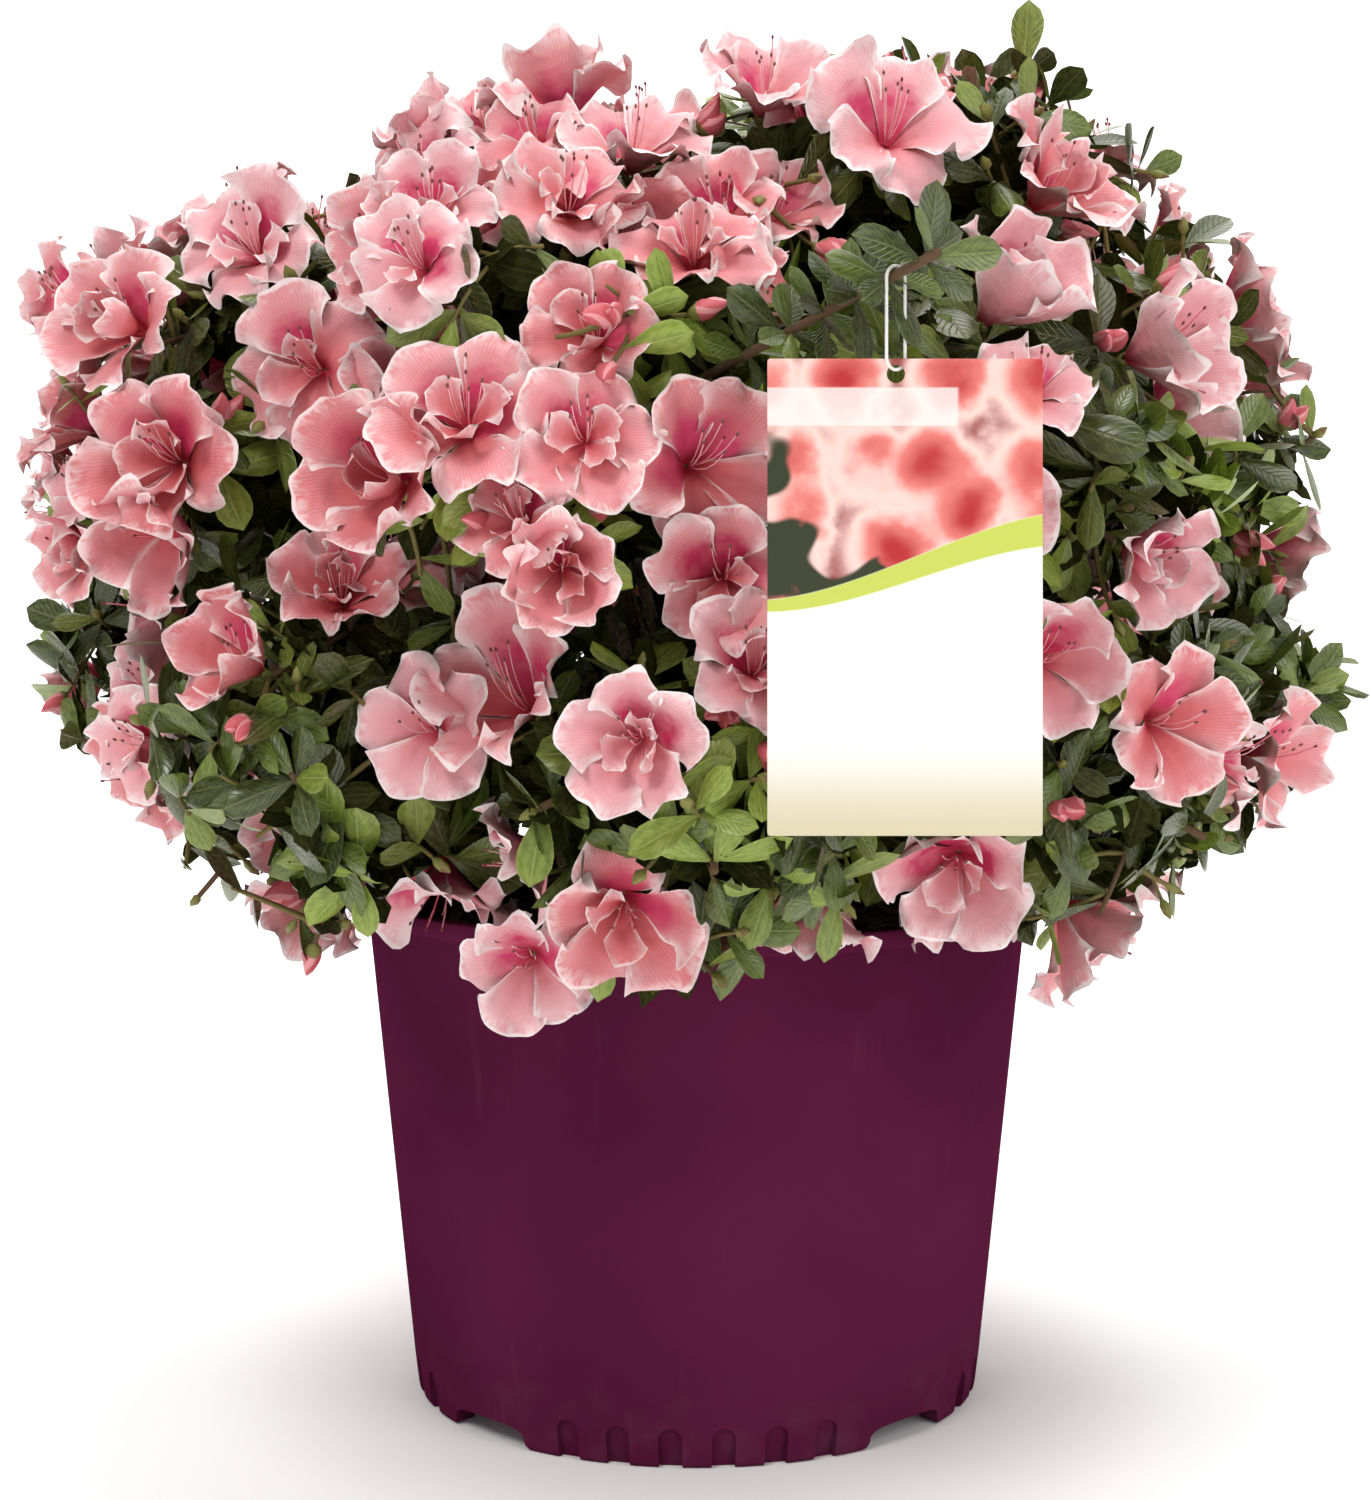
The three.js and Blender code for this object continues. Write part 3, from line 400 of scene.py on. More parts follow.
BOUGH_FOOT_RADIUS, BOUGH_SAG, BOUGH_STOP = 3.6, 0.34, 14
CORE_SHARE, SHOOTS_PER_BALL, GOLDEN_TURN, SPACE_GAP, LIMB_GAP = 0.56, 30, 137.508, 1.2, 1.5
TIP_LEAST, TIP_RANGE, LEAST_OUTWARD, FAR_SIDE_SHARE = 0.93, 0.1, 0.1, 0.5
BLOOM_RADIUS_SMALL, BLOOM_RADIUS_LARGE, STALK_DEPTH, MOST_TILT = 24, 35, 0.66, 26
BLOOM_OVERLAP, BLOOM_TRIM, BLOOM_BALL = 0.88, 2, 1.04
LEADER_EVERY, MOST_SIDES, FIRST_SIDE, NEXT_SIDE = 3, 3, 6, 5
FLUSH_TOWARDS = np.array([-0.62, -0.3, 0.72])
LEADER_RADII, SIDE_RADII, SIDE_REACH = (2.6, 1.6), (1.4, 1.2), 70
TAG_MIDDLE_X, TAG_TOP, TAG_FRONT, TAG_WIDTH, TAG_HEIGHT, TAG_THICKNESS = 68, 420, -280, 90, 156, 1
WIRE_RADIUS, LOOP_HALF_WIDTH, LOOP_HEIGHT, LOOP_TURN, TAG_CLEARANCE = 0.8, 4.2, 34, 40, 4
TAG_SHOOT_RADIUS, TAG_SHOOT_BEYOND, TAG_SHOOT_BARE_FROM, HOLE_ASIDE = 1.8, 20, 0.6, -3


def unit(vector):
    return vector / norm(vector)


def from_heart_to(place):
    """The direction of a place from the middle of the crown."""
    return unit(place - HEART)


def heading(turn, rise=0):
    """The direction at a turn round the pot from the front and a rise above the level."""
    turn, rise = radians(turn), radians(rise)
    return np.array([sin(turn) * cos(rise), -cos(turn) * cos(rise), sin(rise)])


def sideways(axis):
    """Two directions square to an axis and to each other."""
    across = unit(np.cross(UP if abs(axis[2]) < 0.9 else (1.0, 0.0, 0.0), axis))
    return across, np.cross(axis, across)


def between(across, over, angle):
    """The direction at an angle from one towards another that is square to it."""
    return across * cos(angle) + over * sin(angle)


def seeded_numbers(seed):
    state = [seed]

    def draw():
        state[0] = state[0] * 48271 % 2147483647
        return state[0] / 2147483647
    for _ in range(3):
        draw()
    return draw


def way(path):
    """The direction in which a path ends."""
    return unit(path[-1] - path[-2])


def curve(start, bend, end, share):
    """The point at a share of the way from start to end, by way of a bend."""
    return start * (1 - share) ** 2 + bend * 2 * share * (1 - share) + end * share ** 2


def to_lines(point, starts, ends):
    """The distances from a point to straight lines."""
    spans = ends - starts
    share = np.clip(((point - starts) * spans).sum(-1) / (spans ** 2).sum(-1), 0, 1)
    return norm(point - starts - spans * share[..., None], axis=-1)


MASSES = []
for tier in TIERS:
    for n in range(tier["count"]):
        turn = tier["turn"] + n * 360 / tier["count"]
        out = heading(turn)
        across, deep = out[0] * tier["reach"] + tier["shift"], out[1] * tier["reach"] * DEPTH_SHARE
        middle = np.array([across, deep, tier["height"] + out[0] * tier["lean"]])
        MASSES.append(dict(label=f"{tier['name']}_{n + 1}", turn=turn, rise=tier["rise"], middle=middle,
                           radius=tier["radius"], index=len(MASSES)))
MIDDLES = np.array([mass["middle"] for mass in MASSES])
RADII = np.array([mass["radius"] for mass in MASSES], float)

for mass in MASSES:
    leaving = heading(mass["turn"], mass["rise"])
    foot = KNUCKLE + leaving * (KNUCKLE_RADIUS + BOUGH_FOOT_GAP)
    tip = mass["middle"] + unit(KNUCKLE - mass["middle"]) * (CORE_SHARE * mass["radius"] + BOUGH_STOP)
    bend = foot + leaving * norm(tip - foot) * BOUGH_SAG
    mass["bend"], mass["bough"] = bend, [curve(foot, bend, tip, share) for share in np.linspace(0, 1, 6)]
LIMB_STARTS = np.array([point for mass in MASSES for point in mass["bough"][:-1]])
LIMB_ENDS = np.array([point for mass in MASSES for point in mass["bough"][1:]])

LOOP_FOOT = np.array([TAG_MIDDLE_X + HOLE_ASIDE, TAG_FRONT + TAG_THICKNESS / 2,
                      TAG_TOP - 2 - 2 * WIRE_RADIUS])
LOOP_HEAD = LOOP_FOOT + UP * LOOP_HEIGHT
TAG_FOOT = next(mass for mass in MASSES if mass["label"] == "shoulder_3")["middle"]
slope = acos(unit(TAG_FOOT - LOOP_HEAD)[2])
HOOK = LOOP_HEAD - UP * (WIRE_RADIUS + SEAT_GAP + TAG_SHOOT_RADIUS / sin(slope))
TAG_TIP = HOOK + unit(HOOK - TAG_FOOT) * TAG_SHOOT_BEYOND


def stays_in_space(point, mass, margin):
    """True deep enough in the mass's own part of the crown."""
    depths = ((point - MIDDLES) ** 2).sum(1) - RADII ** 2
    apart = norm(MIDDLES - mass["middle"], axis=1)
    over = depths - depths[mass["index"]] - 2 * margin * apart
    over[mass["index"]] = 1
    return bool((over > 0).all())


def misses_pot_and_tag(point):
    from_axis = hypot(point[0], point[1])
    underside = UNDERSIDE + UNDERSIDE_RISE * max(0, from_axis - UNDERSIDE_RADIUS)
    over_rim = point[2] > POT_HEIGHT + RIM_CLEARANCE
    outside_rim = from_axis > POT_TOP_RADIUS + LIP_REACH + RIM_CLEARANCE
    if point[2] < underside or not (over_rim or outside_rim):
        return False
    beside = abs(point[0] - TAG_MIDDLE_X) > TAG_WIDTH / 2 + TAG_CLEARANCE
    above, below = point[2] > TAG_TOP + TAG_CLEARANCE, point[2] < TAG_TOP - TAG_HEIGHT - TAG_CLEARANCE
    return beside or above or below or point[1] > TAG_FRONT + TAG_THICKNESS + TAG_CLEARANCE


def misses_limbs(point, own_radius):
    from_loop = to_lines(point, LOOP_FOOT, LOOP_HEAD) - LOOP_HALF_WIDTH - WIRE_RADIUS
    from_tag_shoot = to_lines(point, TAG_FOOT + (TAG_TIP - TAG_FOOT) * TAG_SHOOT_BARE_FROM, TAG_TIP)
    return (from_loop > own_radius + LIMB_GAP and from_tag_shoot > own_radius + LIMB_GAP
            and to_lines(point, LIMB_STARTS, LIMB_ENDS).min() > BOUGH_FOOT_RADIUS + own_radius + LIMB_GAP)


def flush_at(place):
    """1 in the middle of the flush of flowers, at the top left of the front, and 0 on the far side."""
    return max(0, from_heart_to(place) @ FLUSH_TOWARDS)


SHOOTS = []
for mass in MASSES:
    for n in range(SHOOTS_PER_BALL):
        draw = seeded_numbers(SEED * 100003 + mass["index"] * 7919 + n * 271)
        rise = degrees(asin(1 - 2 * (n + 0.5) / SHOOTS_PER_BALL))
        outward = heading(n * GOLDEN_TURN + mass["turn"], rise)
        tip = mass["middle"] + outward * mass["radius"] * (TIP_LEAST + TIP_RANGE * draw())
        from_heart = from_heart_to(tip)
        kept = outward @ from_heart > LEAST_OUTWARD and stays_in_space(tip, mass, 3 * SPACE_GAP)
        if kept and misses_pot_and_tag(tip):
            SHOOTS.append(dict(mass=mass, n=n, tip=tip, outward=outward, from_heart=from_heart, draw=draw,
                               bloom=None))


def has_room(centre, facing, radius):
    across, over = sideways(facing)
    edges = [centre + radius * between(across, over, angle) for angle in np.radians(range(0, 360, 60))]
    return all(misses_pot_and_tag(edge) and misses_limbs(edge, 0) for edge in edges)


BLOOMS = []
for shoot in SHOOTS:
    draw = shoot["draw"]
    flush = flush_at(shoot["tip"]) ** 3
    wanted = draw() < FAR_SIDE_SHARE + (1 - FAR_SIDE_SHARE) * flush
    radius = BLOOM_RADIUS_SMALL + (BLOOM_RADIUS_LARGE - BLOOM_RADIUS_SMALL) * draw() ** 0.6
    across, over = sideways(shoot["outward"])
    tilt, spin = tan(radians(MOST_TILT)) * draw(), 2 * pi * draw()
    facing = shoot["outward"] * 0.6 + shoot["from_heart"] * 0.4
    facing = unit(facing + across * tilt * cos(spin) + over * tilt * sin(spin))
    for bloom in BLOOMS:
        apart = norm(bloom["centre"] - shoot["tip"])
        own = bloom["mass"] is shoot["mass"]
        room = apart / BLOOM_OVERLAP - bloom["radius"] if own else apart - bloom["radius"] - SPACE_GAP
        radius = min(radius, room)
    while wanted and radius > BLOOM_RADIUS_SMALL and not has_room(shoot["tip"], facing, radius):
        radius -= BLOOM_TRIM
    if wanted and radius > BLOOM_RADIUS_SMALL:
        shoot["bloom"] = dict(mass=shoot["mass"], centre=shoot["tip"], radius=radius, facing=facing,
                              spin=360 * draw())
        BLOOMS.append(shoot["bloom"])


def misses_blooms(start, end, width, mass, own=None):
    """A line with some width misses the blooms: others' by their balls, its mass's by their cones."""
    for bloom in BLOOMS:
        clear_from = bloom["radius"] * BLOOM_BALL + width + SPACE_GAP
        if bloom is own or to_lines(bloom["centre"], start, end) > clear_from:
            continue
        if bloom["mass"] is not mass:
            return False
        for share in (0, 0.25, 0.5, 0.75, 1):
            offset = start + (end - start) * share - bloom["centre"]
            depth = -offset @ bloom["facing"]
            from_middle = sqrt(max(0, offset @ offset - depth * depth))
            if -width <= depth <= bloom["radius"] and from_middle <= bloom["radius"] - depth + width:
                return False
    return True


def may_grow(shoot, foot, end):
    return (stays_in_space(end, shoot["mass"], 2 * SPACE_GAP)
            and all(misses_limbs(foot + (end - foot) * share, LEADER_RADII[0]) for share in (0.2, 0.6, 1))
            and misses_blooms(foot, end, SIDE_RADII[0], shoot["mass"], shoot["bloom"]))


# Every third tip of a mass has a leader from its middle. The others are reached by side shoots, which
# leave the nearest leader part of the way along it.
TWIGS = []
for mass in MASSES:
    leaders, own = [], [shoot for shoot in SHOOTS if shoot["mass"] is mass]
    for shoot in sorted(own, key=lambda shoot: shoot["n"] % LEADER_EVERY > 0):
        bloom = shoot["bloom"]
        end = shoot["tip"] - bloom["facing"] * STALK_DEPTH * bloom["radius"] if bloom else shoot["tip"]
        near = sorted(leaders, key=lambda leader: norm(leader["end"] - end))
        for leader in near if shoot["n"] % LEADER_EVERY else []:
            if leader["sides"] >= MOST_SIDES or norm(leader["end"] - end) >= SIDE_REACH:
                continue
            along = mass["radius"] * CORE_SHARE + FIRST_SIDE + NEXT_SIDE * leader["sides"]
            foot = mass["middle"] + leader["along"] * along
            if may_grow(shoot, foot, end):
                leader["sides"] += 1
                TWIGS.append(dict(shoot=shoot, mass=mass, foot=foot, end=end, radii=SIDE_RADII, leader=False))
                break
        else:
            if may_grow(shoot, mass["middle"], end):
                leader = dict(shoot=shoot, mass=mass, foot=mass["middle"], end=end, radii=LEADER_RADII,
                              leader=True, along=unit(end - mass["middle"]), sides=0)
                leaders.append(leader)
                TWIGS.append(leader)


# Main stem and boughs: one short woody stem with a root flare, which stands on the mix and divides at
# a knuckle into boughs, one for each part of the crown. The bark is grey-brown and finely cracked.
def limb(sheaf, points, radii, sides, cell=(0, 0, 1, 1), tone=0, rough=0.0, random=None, capped=True):
    """A round limb along points, its corners placed in one cell of the pattern. Two radii alone are those
    of its ends."""
    points = np.asarray(points, float)
    radii = np.linspace(*radii, len(points)) if len(radii) == 2 else np.asarray(radii, float)
    along = np.gradient(points, axis=0)
    along /= norm(along, axis=1)[:, None]
    across = [sideways(along[0])[0]]
    for direction in along[1:]:
        across.append(unit(across[-1] - direction * (across[-1] @ direction)))
    across = np.array(across)
    over = np.cross(along, across)
    turn = ring_angles(sides)
    size = np.repeat(radii[:, None], sides, 1)
    if rough:
        size = size * (1 + rough * random.uniform(-1, 1, size.shape))
    ring = across[:, None] * np.cos(turn)[None, :, None] + over[:, None] * np.sin(turn)[None, :, None]
    tube = (points[:, None] + ring * size[..., None]).reshape(-1, 3)
    u = cell[0] + cell[2] * np.abs(1 - 2 * np.arange(sides) / sides)
    v = cell[1] + cell[3] * np.linspace(0, 1, len(points))
    places = np.stack([np.tile(u, len(points)), np.repeat(v, sides)], 1)
    sheaf.add(tube, grid_faces(len(points), sides, True), places, tone)
    if capped:
        last = (len(points) - 1) * sides
        sheaf.faces.append(np.array([np.arange(last, last + sides)]) + sheaf.count - len(tube))
        sheaf.faces.append(np.array([np.arange(sides)[::-1]]) + sheaf.count - len(tube))
        sheaf.tones.append(np.full(2, tone))


def bark_finish(name, dark, pale, scale, depth):
    finish = Finish(name, Specular_IOR_Level=0.25)
    long = finish.place((1, 1, 0.35))
    ridges = finish.cloud(long, scale, 6, 0.6)
    cracks = finish.cloud(long, scale * 2.6, 3)
    cracks = (cracks - 0.5).size().between(0.0, 0.09)
    colour = finish.mix(ridges.between(0.35, 0.66), shade(*dark), shade(*pale))
    finish.feed("Base Color", finish.mix((1 - cracks) * 0.6, colour, shade(46, 34, 27)))
    finish.feed("Roughness", 0.95 - 0.2 * ridges)
    finish.relief(ridges * 0.6 + cracks * 0.4, 0.7, depth)
    return finish


bark = bark_finish("bark", (84, 66, 53), (138, 117, 98), 170, 0.9 * MM)
random = np.random.RandomState(7)
stem = Sheaf()
STEM_HEIGHT, STEM_TOP, sides = 57, 245, 48
STEM_OUTLINE = [(0, 23), (2.5, 21.5), (5.4, 18), (9, 15.2), (18, 13), (25, 13.9), (31, 17), (39, 18),
                (47, 16), (53, 10), (56.7, 2)]
heights = np.concatenate([np.linspace(0, 18, 14), np.linspace(20, STEM_HEIGHT, 20)])
stem_radii = np.interp(heights, *np.array(STEM_OUTLINE, float).T)
turn = ring_angles(sides)
flutes = 1 + 0.07 * np.sin(turn * 5 + 1)[None] * np.clip(1 - heights / 22, 0, 1)[:, None]
flutes = flutes - 0.05 * np.abs(np.sin(turn * 9 + heights[:, None] * 0.12)) * (heights < 50)[:, None]
size = stem_radii[:, None] * np.minimum(flutes + random.uniform(-0.02, 0.01, flutes.shape), 1.0)
stem_points = np.stack([size * np.sin(turn), -size * np.cos(turn),
                        np.repeat(heights[:, None] + MIX_TOP + SEAT_GAP, sides, 1)], 2).reshape(-1, 3)
places = np.stack([np.tile(0.5 + 0.48 * np.abs(1 - 2 * np.arange(sides) / sides), len(heights)),
                   np.repeat(0.01 + 0.18 * heights / STEM_HEIGHT, sides)], 1)
stem.add(stem_points, grid_faces(len(heights), sides, True), places)
stem.add(np.vstack([stem_points[-sides:], [[0, 0, STEM_TOP]]]),
         [(k, (k + 1) % sides, sides) for k in range(sides)], np.vstack([places[-sides:], [[0.7, 0.19]]]))
stem.piece("woody_stem", [bark], "bark", ["main_stem"])

BOUGH_RADII, BOUGH_KNOT, BOUGH_WANDER, STEM_RADII = (3.5, 2.25), 0.13, 2.2, (2.3, 2.7)
boughs = Sheaf()
for mass in MASSES:
    share = np.linspace(0, 1, 36)[:, None]
    route = curve(mass["bough"][0], mass["bend"], mass["bough"][-1], share)
    sway = np.sin(share * random.uniform(5, 9, 3) + random.uniform(0, 6, 3)) * np.sin(share * pi)
    wander = sway * BOUGH_WANDER
    knots = np.clip(np.sin(share[:, 0] * random.uniform(18, 30) + random.uniform(0, 6)), 0, 1) ** 6
    radii = (BOUGH_RADII[0] + (BOUGH_RADII[1] - BOUGH_RADII[0]) * share[:, 0]) * (1 + BOUGH_KNOT * knots)
    radii[0] = BOUGH_FOOT_RADIUS
    cell = (0.01 + 0.098 * (mass["index"] % 5), 0.01 + 0.245 * (mass["index"] // 5), 0.09, 0.235)
    limb(boughs, route + wander, radii, 12, cell, rough=0.05, random=random)
    leading = way(route)
    start = route[-1] + wander[-1] + leading * SEAT_GAP
    reach = norm(mass["middle"] - start)
    mass["stem"] = curve(start, start + leading * reach * 0.5, mass["middle"], np.linspace(0, 1, 12)[:, None])
boughs.piece("boughs", [bark], "bark", ["bough_" + mass["label"] for mass in MASSES])


# Twigs and shoots: each part of the crown grows from the stem at the end of its bough. Leaders and side
# shoots reach the tips, and finer shoots leave them on all sides. The young ends are green-brown.
FINE_SHOOTS, FINE_LENGTH, FINE_LENGTH_RANGE, TWIG_BOW, FINE_BOW, LOW_BOW = 7, 20, 26, 0.035, 0.06, 0.08
LOOP_CLEARANCE, DEEP_FROM, TWIG_SHRINK = 7, 0.66, 0.9
random = np.random.RandomState(19)
twigs = Sheaf()


def any_turn():
    return random.uniform(0, 2 * pi)


def bent(start, end, bow, steps=7):
    """Points from start to end with a slight bow to one side."""
    share = np.linspace(0, 1, steps)[:, None]
    across, over = sideways(unit(end - start))
    side = between(across, over, any_turn())
    return start + (end - start) * share + side * np.sin(share * pi) * bow * norm(end - start)


def in_front_of_bloom(points):
    """True for each point that stands in a flower or in the open space before its face."""
    if not len(CENTRES):
        return np.zeros(len(points), bool)
    offset = points[:, None] - CENTRES[None]
    ahead = (offset * FACINGS[None]).sum(2)
    aside = np.sqrt(np.maximum((offset ** 2).sum(2) - ahead ** 2, 0))
    cone = BLOOM_RADII * (0.97 + np.minimum(ahead, 0) / BLOOM_RADII)
    return ((ahead > -0.6 * BLOOM_RADII) & (ahead < 1.2 * BLOOM_RADII) & (aside < cone)).any(1)


def gather_blooms():
    global CENTRES, FACINGS, BLOOM_RADII
    CENTRES = np.array([bloom["centre"] for bloom in BLOOMS])
    FACINGS = np.array([bloom["facing"] for bloom in BLOOMS])
    BLOOM_RADII = np.array([bloom["radius"] for bloom in BLOOMS])


def clear_of_rest(point):
    """Clear of the pot, of the tag and of its loop."""
    return misses_pot_and_tag(point) and to_lines(point, LOOP_FOOT, LOOP_HEAD) > LOOP_CLEARANCE


gather_blooms()
for mass in MASSES:
    limb(twigs, mass["stem"], STEM_RADII, 8, rough=0.05, random=random)

CROWN_REACH, CROWN_FOOT, CROWN_HEAD = 289, 188, 568
LEFT_SHOULDER, LEFT_SHOULDER_END, RIGHT_SHOULDER_START, RIGHT_SLOPE = 492, -165, 150, 1.1
RIGHT_FLANK, FLANK_SLOPE = 234, 2.1
UNDERSIDE_SLOPE, LEFT_UNDERSIDE, RIGHT_UNDERSIDE = 0.75, -145, 175


def within_crown(point):
    """The crown is round from above; it rises under both ends, and its right shoulder slopes down."""
    x, z = point[0], point[2]
    low = CROWN_FOOT + UNDERSIDE_SLOPE * max(0, LEFT_UNDERSIDE - x, x - RIGHT_UNDERSIDE)
    past_shoulder, past_flank = max(0, x - RIGHT_SHOULDER_START), max(0, x - RIGHT_FLANK)
    high = CROWN_HEAD - RIGHT_SLOPE * past_shoulder - (FLANK_SLOPE - RIGHT_SLOPE) * past_flank
    high = min(high, LEFT_SHOULDER) if x < LEFT_SHOULDER_END else high
    return low < z < high and hypot(x, point[1]) < CROWN_REACH


SPRAYS, tips = [], []
SPRAYS_FROM = UP * 300


def new_spray(base, along, grade, mass, out=None, **more):
    """A shoot's end, where its leaves, its buds or its flower grow. Grade 0 is a twig's own end, 1 a finer
    shoot near the surface and 2 one deep in the crown."""
    out = unit(base - SPRAYS_FROM) if out is None else out
    SPRAYS.append(dict(base=base, along=unit(along), out=out, grade=grade, mass=mass, **more))
    tips.append(base)


def nearest_tip(place):
    return tips[np.argmin(norm(np.array(tips) - place, axis=1))]


def young_shoot(path, radii=(1.3, 0.85), sides=4):
    limb(twigs, path, radii, sides, tone=1)


for twig in TWIGS:
    path = bent(twig["foot"], twig["end"], TWIG_BOW)
    reach = twig["end"] - twig["foot"]
    shares = [share for share in (1, 0.9, 0.8, 0.7, 0.6) if within_crown(twig["foot"] + reach * share)]
    if shares and shares[0] < 1 and not twig["shoot"]["bloom"]:
        path = bent(twig["foot"], twig["foot"] + reach * (shares[0] - 0.2), TWIG_BOW)
    limb(twigs, path, np.linspace(*twig["radii"], len(path)) * TWIG_SHRINK, 6, rough=0.06, random=random)
    along = way(path)
    twig["path"] = path
    if not twig["shoot"]["bloom"]:
        new_spray(path[-1], path[-1] - path[-2], 0, twig["mass"], twig["shoot"]["from_heart"])
    across, over = sideways(along)
    start_angle = any_turn()
    for n in range(FINE_SHOOTS if twig["leader"] else FINE_SHOOTS - 2):
        share = 0.38 + 0.58 * (n + random.uniform(0, 1)) / FINE_SHOOTS
        place = share * (len(path) - 1)
        low = min(int(place), len(path) - 2)
        base = path[low] + (path[low + 1] - path[low]) * (place - low)
        side = between(across, over, start_angle + n * radians(GOLDEN_TURN))
        pitch = random.uniform(0.6, 1.15)
        aim = unit(along * cos(pitch) + side * sin(pitch) + twig["shoot"]["from_heart"] * 0.25)
        length = FINE_LENGTH + FINE_LENGTH_RANGE * random.uniform(0, 1)
        end = base + aim * length
        mass = twig["mass"]
        out = norm(end - mass["middle"]) / mass["radius"]
        steps = np.array([base + aim * length * part for part in (0.5, 0.75, 1)])
        if out > 1.02 or not clear_of_rest(end) or not within_crown(end) or in_front_of_bloom(steps).any():
            continue
        fine = bent(base, end, FINE_BOW, 5)
        young_shoot(fine, (1.15, 0.8))
        new_spray(end, fine[-1] - fine[-2], 1 if out > DEEP_FROM else 2, mass)

# Late shoots fill bare places at each part's surface and inside it. They leave its nearest twig.
LATE_PLACES, LATE_REACH, LATE_APART, DEEP_APART = 110, 70, 21, 36
tips += [bloom["centre"] for bloom in BLOOMS]


def late_shoot(mass, end):
    """Grows a shoot to a bare place from the nearest twig of its part of the crown."""
    near = np.concatenate([twig["path"][2:] for twig in TWIGS if twig["mass"] is mass] + [mass["stem"][-2:]])
    foot = near[np.argmin(norm(near - end, axis=1))]
    if 8 < norm(end - foot) < LATE_REACH:
        path = bent(foot, end, FINE_BOW, 5)
        if not in_front_of_bloom(path).any():
            young_shoot(path)
            deep = norm(end - mass["middle"]) < 0.7 * mass["radius"]
            new_spray(end, path[-1] - path[-2], 2 if deep else 1, mass)


for mass, low, high, apart in ([(mass, 0.84, 0.97, LATE_APART) for mass in MASSES]
                               + [(mass, 0.4, 0.68, DEEP_APART) for mass in MASSES]):
    for n in range(LATE_PLACES):
        outward = heading(n * GOLDEN_TURN, degrees(asin(1 - 2 * (n + 0.5) / LATE_PLACES)))
        end = mass["middle"] + outward * mass["radius"] * random.uniform(low, high)
        open_place = stays_in_space(end, mass, 2) and clear_of_rest(end) and within_crown(end)
        if (open_place and not in_front_of_bloom(end[None]).any()
                and norm(np.array(tips) - end, axis=1).min() > apart):
            late_shoot(mass, end)

# Low shoots hang out over the pot's lip all round
RIM_SHOOTS, RIM_OUT, RIM_HEIGHT = 54, 158, 203
for n in range(RIM_SHOOTS):
    outward = heading(n * 360 / RIM_SHOOTS + random.uniform(-3, 3))
    end = outward * (RIM_OUT + random.uniform(0, 22)) + UP * (RIM_HEIGHT + random.uniform(0, 26))
    foot = nearest_tip(end - outward * 12 + UP * 12)
    path = bent(foot, end, LOW_BOW, 5)
    in_reach = 8 < norm(end - foot) < LATE_REACH
    if in_reach and clear_of_rest(end) and not in_front_of_bloom(path).any():
        young_shoot(path)
        mass = min(MASSES, key=lambda mass: norm(mass["middle"] - end))
        new_spray(end, outward - UP * 0.5, 1, mass, unit(outward - UP * 0.6))

# A bushy spray of short shoots stands up at the top right, above the rest
SPRIG_ENDS = ((124, 538), (138, 546), (148, 532), (162, 524), (152, 510), (180, 505), (170, 490), (194, 484),
              (186, 468), (210, 460), (204, 444), (222, 440))
for across, up in SPRIG_ENDS:
    for deep in (-52, -12, 26):
        end = np.array([middle + random.uniform(-spread, spread)
                        for middle, spread in ((across, 5), (deep, 8), (up, 5))])
        foot = nearest_tip(end - [8, 0, 12])
        if 6 < norm(end - foot) < LATE_REACH:
            path = bent(foot, end, LOW_BOW, 5)
            young_shoot(path, (1.2, 0.8), 5)
            mass = min(MASSES, key=lambda mass: norm(mass["middle"] - end) - mass["radius"])
            new_spray(end, path[-1] - path[-2], 1, mass, sprig=True)

# One leaf stands above the rest at the top right, on a shoot of its own
TALLEST = np.array([137, -20, 552])
young_shoot(bent(nearest_tip(TALLEST), TALLEST, 0.05, 5), (1.2, 0.8), 5)

# The long shoot that carries the tag
path = bent(TAG_FOOT, TAG_TIP, 0.0, 9)
limb(twigs, path, (TAG_SHOOT_RADIUS * 0.97,) * 2, 8)
ALONG_TAG_SHOOT = unit(TAG_TIP - TAG_FOOT)
new_spray(TAG_TIP, TAG_TIP - TAG_FOOT, 0, MASSES[10], ALONG_TAG_SHOOT, tag=True)

twig_finishes = [grained(name, colour, 0.8, 900, 0.5, 0.3, Specular_IOR_Level=0.0) for name, colour in (
    ("twig_brown", (104, 82, 64)), ("twig_young", (124, 112, 70)))]


# Flowers: each has five broad ruffled petals joined in a short funnel, and most have a few small inner
# petals. They are coral with thin white edges, and the upper ones have a rose blotch at the throat.
EXTRA_RADIUS, EXTRA_RADIUS_RANGE, BOX_MARGIN, BEYOND_MASS = 21, 6, 4, 1.18
EXTRA_SHARE, EXTRA_SHARE_IN_FLUSH, SPRIG_SHARE = 0.02, 0.85, 0.3
PARTNER_SHARE, PARTNER_SHARE_IN_FLUSH, PARTNER_TRIES = 0.05, 0.5, 6
BLOOMS_APART, PARTNERS_APART, CLOSER_IN_FLUSH = 0.74, 0.62, 0.14
PETAL_GRID, SMALL_PETAL_GRID = (12, 19), (8, 9)

random = np.random.RandomState(23)
LOW_CORNER, HIGH_CORNER = (np.array(corner) / MM for corner in cad_box)


